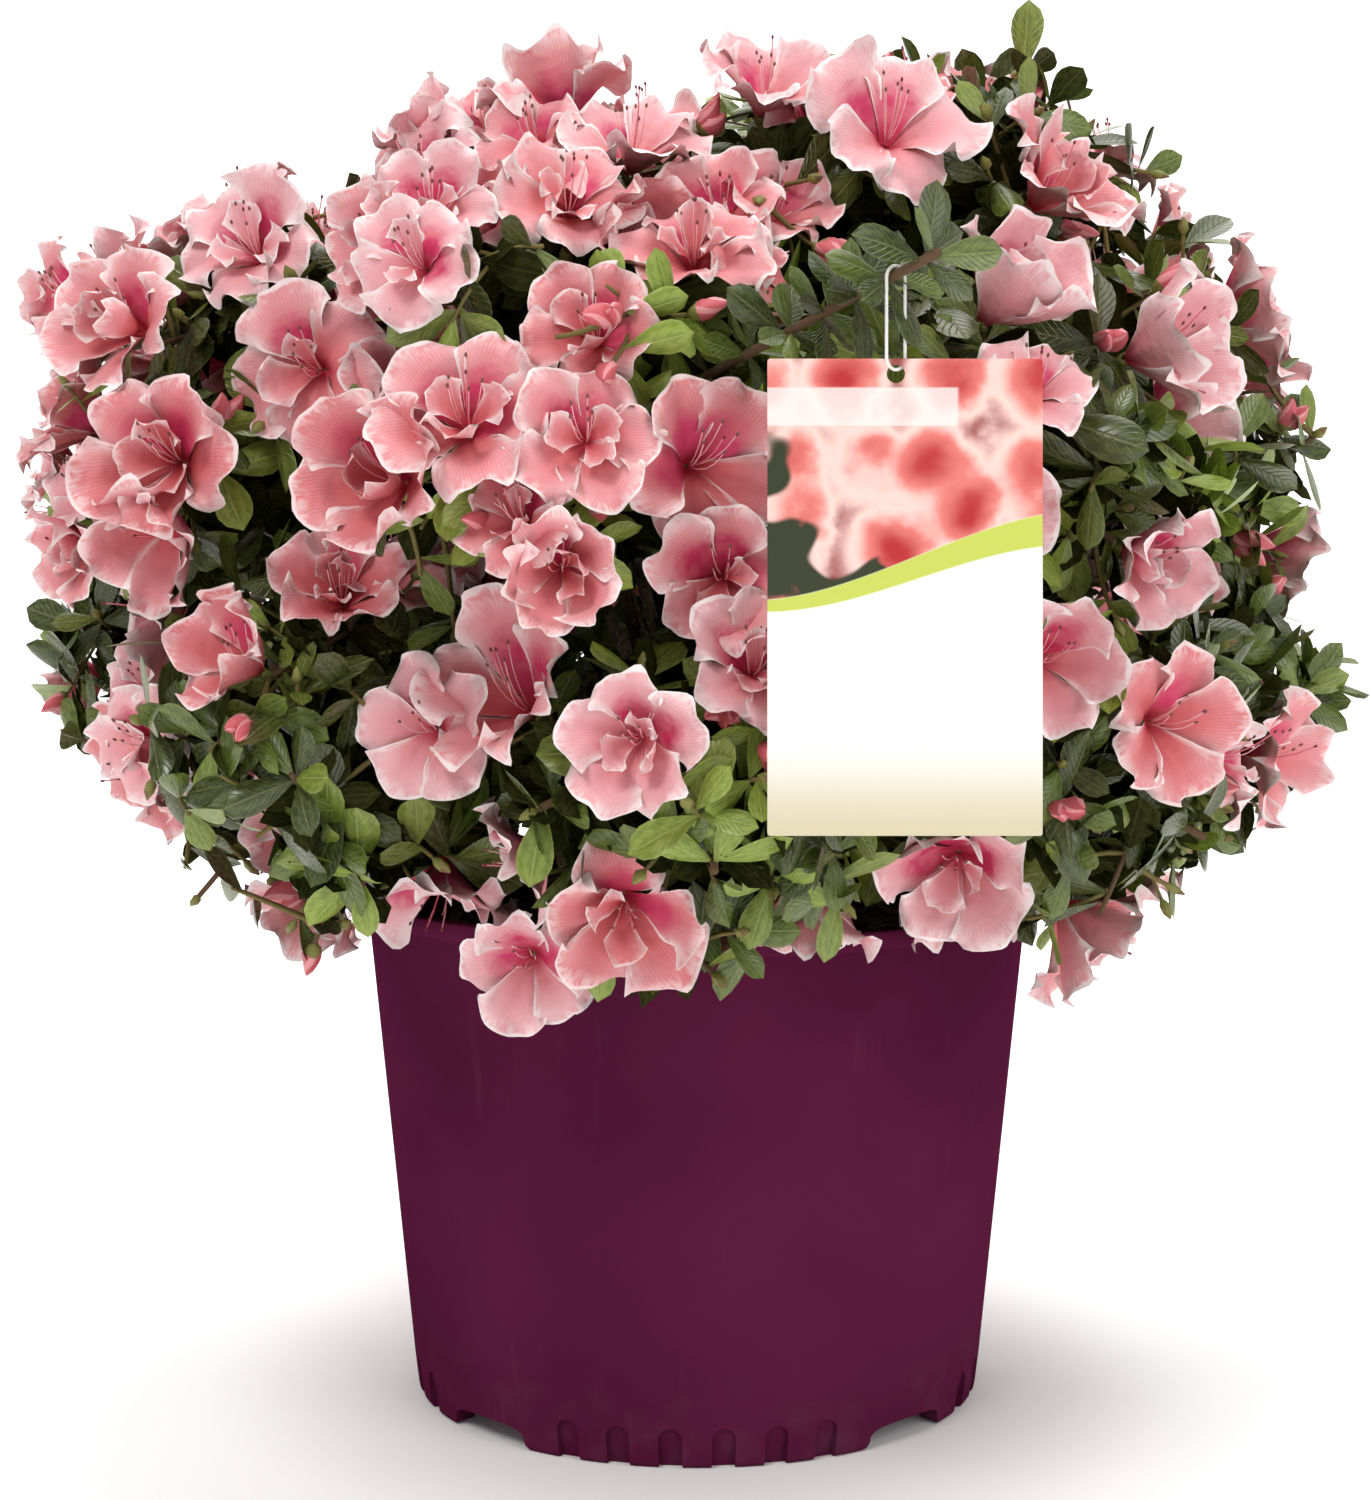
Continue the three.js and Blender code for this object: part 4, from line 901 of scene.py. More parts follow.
def room_for_bloom(centre, facing, radius, mass, parent=None):
    """A flower may open here: inside the crown, clear of the tag and apart from the other flowers."""
    apart = norm(CENTRES - centre, axis=1) / (BLOOM_RADII + radius)
    if parent is not None:
        apart[parent] = 1
    rims = [centre + side * radius * 0.9 for axis in sideways(facing) for side in (axis, -axis)]
    low, high = LOW_CORNER - BOX_MARGIN, HIGH_CORNER + BOX_MARGIN
    inside = all((rim > low).all() and (rim < high).all() and within_crown(rim) for rim in rims)
    least = BLOOMS_APART if parent is None else PARTNERS_APART
    return (inside and apart.min() > least - CLOSER_IN_FLUSH * flush_at(centre) ** 3
            and norm(centre - mass["middle"]) < mass["radius"] * BEYOND_MASS
            and all(clear_of_rest(rim) for rim in rims + [centre]))


def open_flower(mass, centre, radius, facing, stalk):
    BLOOMS.append(dict(mass=mass, centre=centre, radius=radius, facing=facing, spin=random.uniform(0, 360),
                       stalk=stalk))
    gather_blooms()


# Some of the front flowers stand at set places across, forward and up, each on the nearest shoot
PLACED_RADIUS, PLACED_STALK = 27, 15
for place in ((-145, -120, 238), (-85, -200, 290), (-64, -190, 217), (33, -200, 230), (4, -250, 347),
              (-43, -240, 385), (45, -120, 505), (-238, -90, 300), (118, -190, 300)):
    spray = min((spray for spray in SPRAYS if not spray.get("taken") and not spray.get("tag")),
                key=lambda spray: norm((spray["base"] - place) * [1, 0.5, 1]))
    facing = unit(spray["out"] * 0.5 + [0, -1, random.uniform(-0.3, 0.3)])
    centre = spray["base"] + facing * PLACED_STALK
    apart = norm(CENTRES - centre, axis=1) / (BLOOM_RADII + PLACED_RADIUS)
    if apart.min() > 0.5 and clear_of_rest(centre + facing * 10):
        spray["taken"] = True
        open_flower(spray["mass"], centre, PLACED_RADIUS, facing, spray["base"])

for spray in sorted(SPRAYS, key=lambda spray: spray["grade"]):
    if spray.get("taken"):
        continue
    flush = flush_at(spray["base"])
    radius = EXTRA_RADIUS + EXTRA_RADIUS_RANGE * random.uniform(0, 1)
    facing = unit(spray["along"] + spray["out"] * 0.9 + random.normal(0, 0.2, 3))
    tip = spray["base"] + facing * (0.5 * radius + 2)
    share = SPRIG_SHARE if spray.get("sprig") else EXTRA_SHARE + EXTRA_SHARE_IN_FLUSH * flush ** 4
    wanted = random.uniform(0, 1) < share
    if spray["grade"] < 2 and wanted and room_for_bloom(tip, facing, radius, spray["mass"]):
        spray["taken"] = True
        open_flower(spray["mass"], tip, radius, facing, spray["base"])

# In the flush many flowers open in pairs from one bud, the second beside and a little behind the first
for bloom in BLOOMS:
    bloom.setdefault("stalk", bloom["centre"] - bloom["facing"] * STALK_DEPTH * bloom["radius"])
    outward = from_heart_to(bloom["centre"])
    bloom["facing"] = unit(bloom["facing"] + outward * 0.25 + random.normal(0, 0.16, 3))
    over_top = bloom["centre"][2] + bloom["radius"] * 0.75 - CROWN_HEAD + 4
    if over_top > 0:
        bloom["radius"] = max(19, bloom["radius"] - over_top)
        bloom["centre"] = bloom["centre"] - UP * min(over_top, 9)
    plan = bloom["centre"] * [1, 1, 0]
    over_side = norm(plan) + bloom["radius"] * 0.8 - CROWN_REACH
    if over_side > 0:
        bloom["centre"] = bloom["centre"] - unit(plan) * min(over_side, 14)
gather_blooms()
for n in list(range(len(BLOOMS))) * 2:
    bloom = BLOOMS[n]
    flush = flush_at(bloom["centre"])
    if random.uniform(0, 1) > PARTNER_SHARE + PARTNER_SHARE_IN_FLUSH * flush ** 4:
        continue
    across, over = sideways(bloom["facing"])
    for _ in range(PARTNER_TRIES):
        side = unit(between(across, over, any_turn()) - UP * 0.35)
        radius = bloom["radius"] * random.uniform(0.85, 1.0)
        centre = bloom["centre"] + side * radius * random.uniform(0.95, 1.15) - bloom["facing"] * radius * 0.3
        facing = unit(bloom["facing"] + side * random.uniform(0.5, 1.1))
        if room_for_bloom(centre, facing, radius, bloom["mass"], n):
            stalk = bloom["centre"] - bloom["facing"] * radius * 0.95
            open_flower(bloom["mass"], centre, radius, facing, stalk)
            break


def petal(grid, size, wide, closing, ruffle, cup, tuck):
    """A petal's points in its flower's frame: across, outward and ahead, with its own s and t."""
    rows, columns = grid
    s, t = np.meshgrid(np.linspace(0, 1, rows) ** 0.9, np.linspace(-1, 1, columns), indexing="ij")
    phase, other_phase = random.uniform(0, 2 * pi, 2)
    spread = np.sin(0.5 * pi * s) ** 1.25
    x = size * wide * (0.13 + 0.87 * spread) * np.sin(1.25 * t) / sin(1.25)
    outward = size * (0.02 + 0.98 * s ** 1.1) * (1 - 0.42 * s * (1 - np.cos(1.25 * t)) / (1 - cos(1.25)))
    outward -= size * random.uniform(0, 0.07) * np.exp(-(t / 0.2) ** 2) * s ** 6
    ahead = size * (-0.55 * (1 - s) ** 2 - 0.13 * s ** 3)
    margin = np.maximum(t ** 2, s ** 4) * np.clip(s * 2 - 0.4, 0, 1)
    wave = np.sin(8 * s + phase + (t > 0) * other_phase) * t ** 2 + np.sin(5.6 * t + other_phase) * s ** 4
    ahead += ruffle * size * margin * wave
    frill = np.sin(13 * s + 3 * phase) * t ** 6 + np.sin(11 * t + 2 * phase) * s ** 6
    ahead += 0.045 * size * frill * np.clip(s * 2 - 0.6, 0, 1)
    outward += 0.25 * ruffle * size * s ** 4 * np.cos(5 * t + phase)
    keel = 0.05 * size * np.exp(-(t / 0.22) ** 2) * np.sin(pi * s)
    ahead += cup * size * t ** 2 * s * (1.1 - s) - keel
    ahead += tuck * size * t * s
    level, raised = np.cos(closing * s), np.sin(closing * s)
    outward, ahead = outward * level - ahead * raised, ahead * level + outward * raised
    return np.stack([x, outward, ahead], 2).reshape(-1, 3), s.ravel(), t.ravel()


petals = {tone: Sheaf() for tone in ("pale", "coral", "deep")}
CLOSINGS, CLOSING_SHARES = ((-0.15, 0.12), (0.12, 0.4), (0.4, 0.7)), (0.5, 0.32, 0.18)
for bloom in BLOOMS:
    centre, facing, radius = bloom["centre"], bloom["facing"], bloom["radius"]
    across, over = sideways(facing)
    tone = random.choice(["pale", "coral", "deep"], p=[0.34, 0.38, 0.28])
    spin = radians(bloom["spin"])
    bloom["frame"] = (across, over)
    closing = random.choice([random.uniform(*ends) for ends in CLOSINGS], p=CLOSING_SHARES)
    turns = [spin + n * 2 * pi / 5 + random.normal(0, 0.07) for n in range(5)]
    heights = np.argsort([-between(across, over, turn)[2] for turn in turns])
    blotched = heights[:random.choice([1, 2, 3])]
    tuck = random.choice([-1, 1]) * random.uniform(0.05, 0.1)
    plan = [(PETAL_GRID, turn, radius * random.uniform(0.95, 1.1), random.uniform(0.47, 0.54),
             closing + random.normal(0, 0.17), random.uniform(0.08, 0.16), random.uniform(0.0, 0.3),
             tuck + random.normal(0, 0.05), 0,
             0.75 if n in blotched else 0.25) for n, turn in enumerate(turns)]
    for n in range(random.choice([0, 2, 3, 4], p=[0.4, 0.25, 0.2, 0.15])):
        turn = spin + 0.6 + n * 2.4 + random.normal(0, 0.3)
        size, wide = radius * random.uniform(0.45, 0.66), random.uniform(0.42, 0.55)
        closes = closing + random.uniform(0.25, 0.9)
        plan.append((SMALL_PETAL_GRID, turn, size, wide, closes, 0.12, 0.4, 0, -0.1, 0.25))
    for grid, turn, size, wide, closes, ruffle, cup, tucked, sunk, column in plan:
        points, s, t = petal(grid, size, wide, closes, ruffle, cup, tucked)
        outward = between(across, over, turn)
        points = (centre + points[:, :1] * np.cross(facing, outward) + points[:, 1:2] * outward
                  + (points[:, 2:] + sunk * radius) * facing)
        petals[tone].add(points, grid_faces(*grid), np.stack([column + 0.235 * t, 0.01 + 0.98 * s], 1))


def petal_finish(name, body, warm, edge, throat):
    finish = Finish(name, Roughness=0.55, Specular_IOR_Level=0.35)
    place = finish.node("ShaderNodeUVMap", {"uv_map": "OFBake"}, {})
    u, v, _ = finish.parts(place)
    blotched = u.between(0.49, 0.51)
    t = (u - 0.25 - blotched * 0.5) / 0.235
    aside = t.size()
    clouds = finish.cloud(place, 9, 2, 0.6)
    streaks = finish.cloud(finish.stretched(place, (1, 0.12, 1)), 60, 2)
    ragged = finish.cloud(finish.place(), 120, 1)
    margin = (1 - aside).sum("MINIMUM", (1 - aside) * 0.75, (1 - v) * 1.3)
    veins = (t * 15 + clouds * 1.6).from_half().between(0.5, 0.32)
    colour = finish.mix(v.between(0.85, 0.2) * 0.85 + (clouds - 0.5) * 0.3, shade(*body), shade(*warm))
    colour = finish.mix(aside.between(0.1, 1.0) * v.between(0.15, 0.7) * 0.3, colour, shade(*edge))
    feather = margin.between(0.34, 0.0) * (streaks * 0.9 + ragged - 0.35).between(0.42, 0.75)
    colour = finish.mix(feather * 0.8, colour, shade(*edge))
    colour = finish.mix((1 - veins) * 0.28 * margin.between(0.02, 0.3), colour, shade(*throat))
    reach = (v + (clouds - 0.5) * 0.3 + aside * 0.22).between(0.74, 0.44)
    speckled = 0.62 + 0.38 * ragged.between(0.42, 0.6)
    colour = finish.mix(blotched * reach * speckled, colour, shade(210, 62, 108))
    colour = finish.mix((margin + (ragged - 0.5) * 0.2).between(0.08, 0.035) * 0.92, colour, shade(*edge))
    # Darkens each petal's base to deep red: partly the flower's own deeper throat colour, partly painted
    # shade in the funnel
    colour = finish.mix(v.between(0.3, 0.04) * 0.9, colour, shade(*throat))
    finish.feed("Base Color", colour)
    finish.relief(finish.cloud(finish.place(), 190, 1), 0.5, 1.6 * MM)
    return finish


# The last colour of each tone is the deep red of veins and throat, also used as painted shade at the petal's
# base
for tone, *colours in (("pale", (234, 174, 179), (226, 138, 143), (248, 238, 238), (194, 44, 78)),
                       ("coral", (231, 153, 157), (220, 111, 115), (246, 232, 232), (182, 34, 60)),
                       ("deep", (222, 132, 136), (204, 86, 90), (244, 224, 224), (160, 24, 46))):
    petals[tone].piece("petals_" + tone, [petal_finish("petal_" + tone, *colours)], "foliage")


# Stamens, pistils and flower tubes: thin pale threads with dark anthers that curve up out of each
# throat, a longer rose pistil among them, and the green calyx that holds the flower to its shoot.
threads = Sheaf()
for bloom in BLOOMS:
    centre, facing, radius = bloom["centre"], bloom["facing"], bloom["radius"]
    across, over = bloom["frame"]
    throat = centre - facing * 0.5 * radius
    lift = unit(UP - facing * (UP @ facing)) if abs(facing[2]) < 0.97 else over
    share = np.linspace(0, 1, 5)[:, None]
    for n in range(6):
        pistil = n == 5
        angle, spread = n * 1.26 + random.uniform(-0.3, 0.3), (0.05 if pistil else random.uniform(0.1, 0.24))
        side = between(across, over, angle) * spread
        long = radius * (random.uniform(0.55, 0.78) + (0.18 if pistil else 0))
        path = throat + side * radius * share ** 0.8 + facing * long * share
        path = path + lift * (share ** 2.4) * radius * 0.26
        thick = 1.3 if pistil else 1
        limb(threads, path, np.linspace(0.32, 0.24, 5) * thick, 3, tone=1 if pistil else 0)
        end, ahead = path[-1], way(path)
        knob = [end - ahead * 0.4, end + ahead * 0.4, end + ahead * 1.2]
        limb(threads, knob, [0.35, 0.6, 0.3], 5, tone=3 if pistil else 2)
    base = centre - facing * 0.6 * radius
    stalk = bloom["stalk"]
    if in_front_of_bloom(np.array([stalk + (base - stalk) * part for part in (0, 0.3, 0.6)])).any():
        stalk = base - facing * 6
    limb(threads, [stalk, base - facing * 4, base - facing * 1.5, base], [0.9, 1.4, 2.1, 1.0], 7, tone=4)
    for n in range(5):
        side = between(across, over, n * 2 * pi / 5)
        tangent = np.cross(facing, side)
        root, tip = base - facing * 2.4 + side * 1.6, base + side * 4.2 + facing * 3.5
        middle = (root + tip) / 2 + side * 0.4
        sepal = [root - tangent * 1.3, root + tangent * 1.3, middle + tangent * 1.1, middle - tangent * 1.1,
                 tip]
        threads.add(sepal, [(0, 1, 2), (0, 2, 3), (3, 2, 4)], np.full((5, 2), 0.5), 4)

thread_finishes = [grained(name, colour, rough, 1500, 0.25, 0.15) for name, colour, rough in (
    ("filament", (238, 178, 180), 0.5), ("pistil", (222, 120, 134), 0.45), ("anther", (120, 78, 68), 0.7),
    ("stigma", (120, 34, 48), 0.5), ("calyx", (120, 128, 62), 0.6))]
threads.piece("flower_threads", thread_finishes, "foliage")


# Buds: pointed flower buds with their coral petals rolled in a twist, one to three at some shoot tips,
# and tight brown-green scale buds at others.
BUD_SHARE = 0.11
buds = Sheaf()


def bud(root, along, length, width, twist, tones, rows=8, sides=9):
    share = np.linspace(0, 1, rows)
    size = width * np.sin(pi * share ** 0.85) ** 0.75 * (1 - 0.2 * share) + 0.3
    across, over = sideways(along)
    turn = ring_angles(sides)
    rings = []
    for part, radius in zip(share, size):
        angle = (turn + twist * part)[:, None]
        lobes = 1 + 0.2 * np.sin(turn * 3 + part * 2)
        ring = across * np.cos(angle) + over * np.sin(angle)
        rings.append(root + along * length * part + ring * (radius * lobes)[:, None])
    faces = grid_faces(rows, sides, True)
    places = np.stack([np.tile(np.arange(sides) / sides, rows), np.repeat(share, sides)], 1)
    buds.add(np.concatenate(rings), faces, places)
    row = np.arange(len(faces)) // sides
    pale = (np.arange(len(faces)) % 3 == 0) & (row > 1)
    buds.tones[-1] = np.where(row < 2, tones[0], np.where(pale, tones[2], tones[1]))


for spray in SPRAYS:
    if spray.get("taken") or spray["grade"] > 1:
        continue
    base, along = spray["base"], spray["along"]
    across, over = sideways(along)
    if random.uniform(0, 1) < BUD_SHARE:
        for n in range(random.choice([1, 2, 3])):
            side = between(across, over, n * 2.2 + random.uniform(0, 1))
            aim = unit(along + side * 0.45 + spray["out"] * 0.4)
            length = random.uniform(12, 19)
            if clear_of_rest(base + aim * length):
                bud(base, aim, length, random.uniform(3.1, 4.4), random.uniform(1.2, 2.4), (2, 0, 1))
        spray["budded"] = True
    elif random.uniform(0, 1) < 0.6:
        bud(base - along, along, random.uniform(6, 10), random.uniform(1.8, 2.6), 0.6, (2, 2, 3), 4, 5)
bud_finishes = [grained(name, colour, rough, 1100, 0.3, 0.2) for name, colour, rough in (
    ("bud_coral", (206, 96, 104), 0.5), ("bud_pale", (232, 152, 156), 0.5),
    ("bud_scale", (132, 130, 66), 0.6), ("bud_scale_tip", (118, 92, 58), 0.7))]
buds.piece("buds", bud_finishes, "foliage")


# Leaves: small pointed ovals in whorls round the shoot ends and below the flowers, dark and glossy with
# sunken veins. The newest whorls are yellow-green. They are the finest growth of each part.
# Leaves deep in the crown, along the twigs and the stems, are a darker, matte copy of the leaf finish:
# painted shade
LEAF_LENGTH, LEAF_LENGTH_RANGE, LEAF_WIDTH_SHARE, TOP_LEAF = 20, 14, 0.47, 30
NEAR_TAG_TIP, LEAF_PROUD, NEW_LEAF_SHARE = 34, 12, 0.12
random = np.random.RandomState(31)


def leaf_grid(rows, columns):
    s, t = np.meshgrid(np.linspace(0, 1, rows) ** 0.8, np.linspace(-1, 1, columns), indexing="ij")
    half = np.sin(pi * s ** 1.6) ** 0.62 + 0.07 * (1 - s)
    return s.ravel(), t.ravel(), half.ravel(), grid_faces(rows, columns)


FINE_LEAF, PLAIN_LEAF = leaf_grid(7, 5), leaf_grid(5, 3)


def leaf(sheaf, grid, root, along, upper, length, droop, fold, roll, twist):
    s, t, half, faces = grid
    across = np.cross(along, upper)
    across, upper = between(across, upper, twist), between(upper, -across, twist)
    x = half * t * length * LEAF_WIDTH_SHARE / 2
    rise = np.abs(x) * fold - droop * length * s ** 2 - roll * length * t ** 2 * half * 0.12
    points = root + along * (s * length)[:, None] + across * x[:, None] + upper * rise[:, None]
    on_tag_shoot = norm(points[-1] - TAG_TIP) < NEAR_TAG_TIP and points[-1][1] > LOW_CORNER[1] - LEAF_PROUD
    shown = (within_crown(points[-1]) or on_tag_shoot) and clear_of_rest(points[-1])
    if length != TOP_LEAF and (not shown or in_front_of_bloom(points[len(s) // 2::len(s) // 4]).any()):
        return
    sheaf.add(points, faces, np.stack([0.5 + 0.48 * t, 0.01 + 0.98 * s], 1))


YOUNG_TOWARDS = [unit(np.array(v, float)) for v in (
    (-141, -200, 97), (-15, -240, 118), (90, -200, -70), (40, -200, 159), (215, -60, 124), (-68, -240, 36),
    (190, -150, 67), (5, -230, -42), (-230, -100, 55), (120, 200, 160), (-200, 120, 60), (0, 250, 40),
    (-240, -40, 30), (160, 170, -20), (-90, 220, 120), (150, -210, 10))]
# Tone inner is painted shade for leaves inside the crown; the other tones differ by age
LEAF_AGES_AND_INNER_SHADE = ["inner", "dark", "green", "olive", "young"]
leaves = {age: Sheaf() for age in LEAF_AGES_AND_INNER_SHADE}
AGE_SHARES, LEAF_BENDS = (0.66, 0.26, 0.08), ((-0.02, 0.2), (0.05, 0.4), (0, 1.5))


def whorl(root, along, axis, count, pitches, age, grid, drop, lengths=(LEAF_LENGTH, LEAF_LENGTH_RANGE)):
    """Leaves round a shoot's end: the lowest and oldest lie flat, the youngest stand up round its tip."""
    across, over = sideways(axis)
    start = any_turn()
    for n in range(count):
        side = between(across, over, start + n * radians(GOLDEN_TURN))
        level = n / count
        pitch = radians(pitches[0] + (pitches[1] - pitches[0]) * level + random.uniform(-10, 10))
        aim = unit(axis * cos(pitch) + side * sin(pitch))
        upper = unit(axis * sin(pitch) - side * cos(pitch))
        length = (lengths[0] + lengths[1] * random.uniform(0, 1)) * (1.05 - 0.3 * level)
        newer = age > 0 and random.uniform(0, 1) < NEW_LEAF_SHARE
        tone = LEAF_AGES_AND_INNER_SHADE[min(4, age + (age > 0 and level > 0.7) + newer)]
        droop, fold, roll = (random.uniform(*ends) for ends in LEAF_BENDS)
        leaf(leaves[tone], grid, root - along * (1.5 + drop * (1 - level)) + aim * 0.6, aim, upper, length,
             droop, fold, roll, random.normal(0, 0.25))


for spray in SPRAYS:
    base, along, fine = spray["base"], spray["along"], spray["grade"] < 2
    from_heart = from_heart_to(base)
    young = fine and max(from_heart @ towards for towards in YOUNG_TOWARDS) > 0.99
    # Sprays deep in the crown get tone 0, the painted-shade inner leaves
    age = 4 if young else random.choice([1, 2, 3], p=AGE_SHARES) if fine else 0
    age = 1 if spray.get("tag") or spray.get("sprig") else age
    under = 8 if spray.get("taken") or spray.get("budded") else 0
    whorl(base, along, unit(along + spray["out"] * 0.35), random.randint(6, 9), (88 + under, 46 + under), age,
          FINE_LEAF if fine else PLAIN_LEAF, 8, (20, 10) if young else (LEAF_LENGTH, LEAF_LENGTH_RANGE))

for twig in TWIGS:
    path = twig["path"]
    along = way(path)
    if twig["shoot"]["bloom"]:
        whorl(path[-1], along, along, 7, (95, 62), random.choice([1, 2]), FINE_LEAF, 9)
    # Whorls along the twigs inside the crown take the painted-shade inner tone
    for mark in range(1, 6):
        whorl(path[mark], along, along, 5, (92, 60), 0, PLAIN_LEAF, 9)
leaf(leaves["olive"], FINE_LEAF, TALLEST, unit(UP + [0.05, -0.1, 0]), np.array([0, -1.0, 0.1]), TOP_LEAF,
     0.05, 0.3, 1, 0.3)
for share in (0.4, 0.52, 0.63, 0.73, 0.82, 0.9):
    root = TAG_FOOT + (TAG_TIP - TAG_FOOT) * share
    whorl(root, ALONG_TAG_SHOOT, ALONG_TAG_SHOOT, 7, (96, 62), 1, FINE_LEAF, 5, (17, 9))
# Whorls along the stems inside the crown take the painted-shade inner tone
for mass in MASSES:
    for low, high in zip(mass["stem"][2:-1], mass["stem"][3:]):
        along = unit(high - low)
        whorl(high, along, along, 6, (95, 60), 0, PLAIN_LEAF, 9)


def leaf_finish(name, blade, pale, rib, gloss, shine=0.65):
    finish = Finish(name, Specular_IOR_Level=shine)
    place = finish.node("ShaderNodeUVMap", {"uv_map": "OFBake"}, {})
    u, v, _ = finish.parts(place)
    aside = ((u - 0.5) / 0.48).size()
    clouds = finish.cloud(place, 5, 2)
    midrib = aside.between(0.1, 0.02)
    veins = (v * 9 - aside * 2.6).from_half().between(0.0, 0.14)
    colour = finish.mix(clouds.between(0.35, 0.65), shade(*blade), shade(*pale))
    colour = finish.mix((1 - veins) * 0.14, colour, shade(*rib))
    colour = finish.mix(midrib * 0.5, colour, shade(*rib))
    finish.feed("Base Color", finish.mix(aside.between(0.9, 1.0) * 0.3, colour, shade(*rib)))
    finish.feed("Roughness", gloss + 0.14 * clouds + 0.15 * midrib)
    finish.relief(veins - midrib * 0.7, 0.5, 0.4 * MM)
    return finish


for age, *look in (("dark", (52, 61, 24), (76, 86, 36), (122, 128, 70), 0.2),
                   ("green", (76, 93, 31), (104, 118, 46), (146, 154, 84), 0.22),
                   ("olive", (104, 121, 40), (132, 146, 60), (168, 176, 98), 0.28),
                   ("young", (122, 144, 46), (150, 168, 70), (184, 196, 108), 0.3),
                   # inner: darker and without gloss, painted shade for the inside of the crown
                   ("inner", (40, 43, 20), (56, 60, 29), (80, 84, 46), 0.5, 0.0)):
    leaves[age].piece("leaves_" + age, [leaf_finish("leaf_" + age, *look)], "foliage")
twigs.piece("twigs", twig_finishes, "foliage", ["foliage_" + mass["label"] for mass in MASSES])


# Card tag: a thin printed plastic card with rounded corners and a punched hole. Its print is plain: a
# field of soft coral patches over a white and cream foot, parted by a band of lime green.
TAG_CORNER, HOLE_RADIUS, HOLE_INSET, TAG_EDGE = 0.9, 3, 5, 0.12
FIELD_FOOT, FIELD_RISE, BAND_WIDTH, BAND_WIDENS = 0.47, 0.14, 0.022, 0.042


def tag_mesh():
    shape = bpy.data.curves.new("hang_card", "CURVE")
    shape.dimensions, shape.fill_mode = "2D", "BOTH"
    shape.extrude, shape.bevel_depth = (TAG_THICKNESS / 2 - TAG_EDGE) * MM, TAG_EDGE * MM
    shape.bevel_resolution = 2
    right, top, foot = TAG_WIDTH / 2 - TAG_EDGE, -TAG_EDGE, TAG_EDGE - TAG_HEIGHT
    left = -right
    outline = []
    for x, y, start in ((right, top, 90), (right, foot, 0), (left, foot, -90), (left, top, -180)):
        cx = x - copysign(TAG_CORNER, x)
        cy = y - TAG_CORNER if y == top else y + TAG_CORNER
        outline += [(cx + TAG_CORNER * cos(radians(start - k * 15)),
                     cy + TAG_CORNER * sin(radians(start - k * 15))) for k in range(7)]
    round_hole = HOLE_RADIUS + TAG_EDGE
    hole = [(round_hole * cos(a) + HOLE_ASIDE, round_hole * sin(a) - HOLE_INSET)
            for a in np.linspace(0, 2 * pi, 40, endpoint=False)]
    for points in (outline, hole):
        spline = shape.splines.new("POLY")
        spline.points.add(len(points) - 1)
        for spot, (x, y) in zip(spline.points, points):
            spot.co = (x * MM, y * MM, 0, 1)
        spline.use_cyclic_u = True
    mesh = final_mesh(in_scene("hang_card", shape))
    middle = (TAG_MIDDLE_X * MM, (TAG_FRONT + TAG_THICKNESS / 2) * MM, TAG_TOP * MM)
    for vertex in mesh.vertices:
        x, y, z = vertex.co
        vertex.co = (x + middle[0], middle[1] - z, y + middle[2])
    mesh.shade_smooth()
    mesh.set_sharp_from_angle(angle=radians(30))
    return mesh


tag = Finish("tag_card", Specular_IOR_Level=0.5)
point = tag.place((1000, 1000, 1000))
x, y, z = tag.parts(point)
front = y.between(TAG_FRONT + 0.7, TAG_FRONT + 0.3)
u = (x - (TAG_MIDDLE_X - TAG_WIDTH / 2)) / TAG_WIDTH
v = (z - (TAG_TOP - TAG_HEIGHT)) / TAG_HEIGHT
flat = tag.node("ShaderNodeCombineXYZ", {}, {0: x, 1: z})
wash = tag.cloud(flat, 0.05, 4, 0.6)
drift = tag.node("ShaderNodeTexNoise", {}, {"Vector": flat, "Scale": 0.05, "Detail": 3.0}, "Color")
drift = tag.node("ShaderNodeVectorMath", {"operation": "MULTIPLY_ADD"}, {0: drift, 1: (16,) * 3, 2: flat})
spots = tag.node("ShaderNodeTexVoronoi", {"feature": "SMOOTH_F1"},
                 {"Vector": drift, "Scale": 0.036, "Smoothness": 0.35, "Randomness": 0.7}, "Distance")
patches = tag.mix(spots.between(0.08, 0.4), shade(186, 40, 44), shade(230, 124, 116))
patches = tag.mix((spots + wash * 0.25).between(0.46, 0.66), patches, shade(250, 212, 204))
patches = tag.mix((spots + wash * 0.3).between(0.68, 0.86), patches, shade(150, 52, 50))
soft = tag.cloud(flat, 0.06, 0.0)
shadow = (1.25 - u * 1.6 - (v - 0.45) * 2.2 + (soft - 0.5) * 1.6).between(0.5, 0.62)
patches = tag.mix(shadow * (spots + soft * 0.2).between(0.34, 0.42), patches, shade(48, 54, 30))
strip = u.between(0.70, 0.685) * v.between(0.857, 0.862) * v.between(0.942, 0.937)
patches = tag.mix(strip * 0.72, patches, shade(250, 238, 236))
rise = v - FIELD_FOOT - FIELD_RISE * u.between(0.0, 1.1)
thick = BAND_WIDTH + BAND_WIDENS * u
foot_wash = tag.mix(v.between(0.24, 0.0), shade(250, 249, 246), shade(214, 204, 172))
field = (rise - thick).between(0.0, 0.005)
printed = tag.mix(field, foot_wash, patches)
printed = tag.mix(rise.between(-0.003, 0.002) * (1 - field), printed, shade(200, 212, 90))
fibre = tag.cloud(point, 0.9, 3)
blank = tag.mix(fibre.between(0.3, 0.7), shade(240, 238, 230), shade(247, 246, 240))
tag.feed("Base Color", tag.mix(front, blank, printed))
tag.feed("Roughness", 0.32 + fibre * 0.1)
tag.relief(fibre, 0.06, 0.2 * MM)
put_in_place("card", tag_mesh(), [tag], ["hang_tag"])


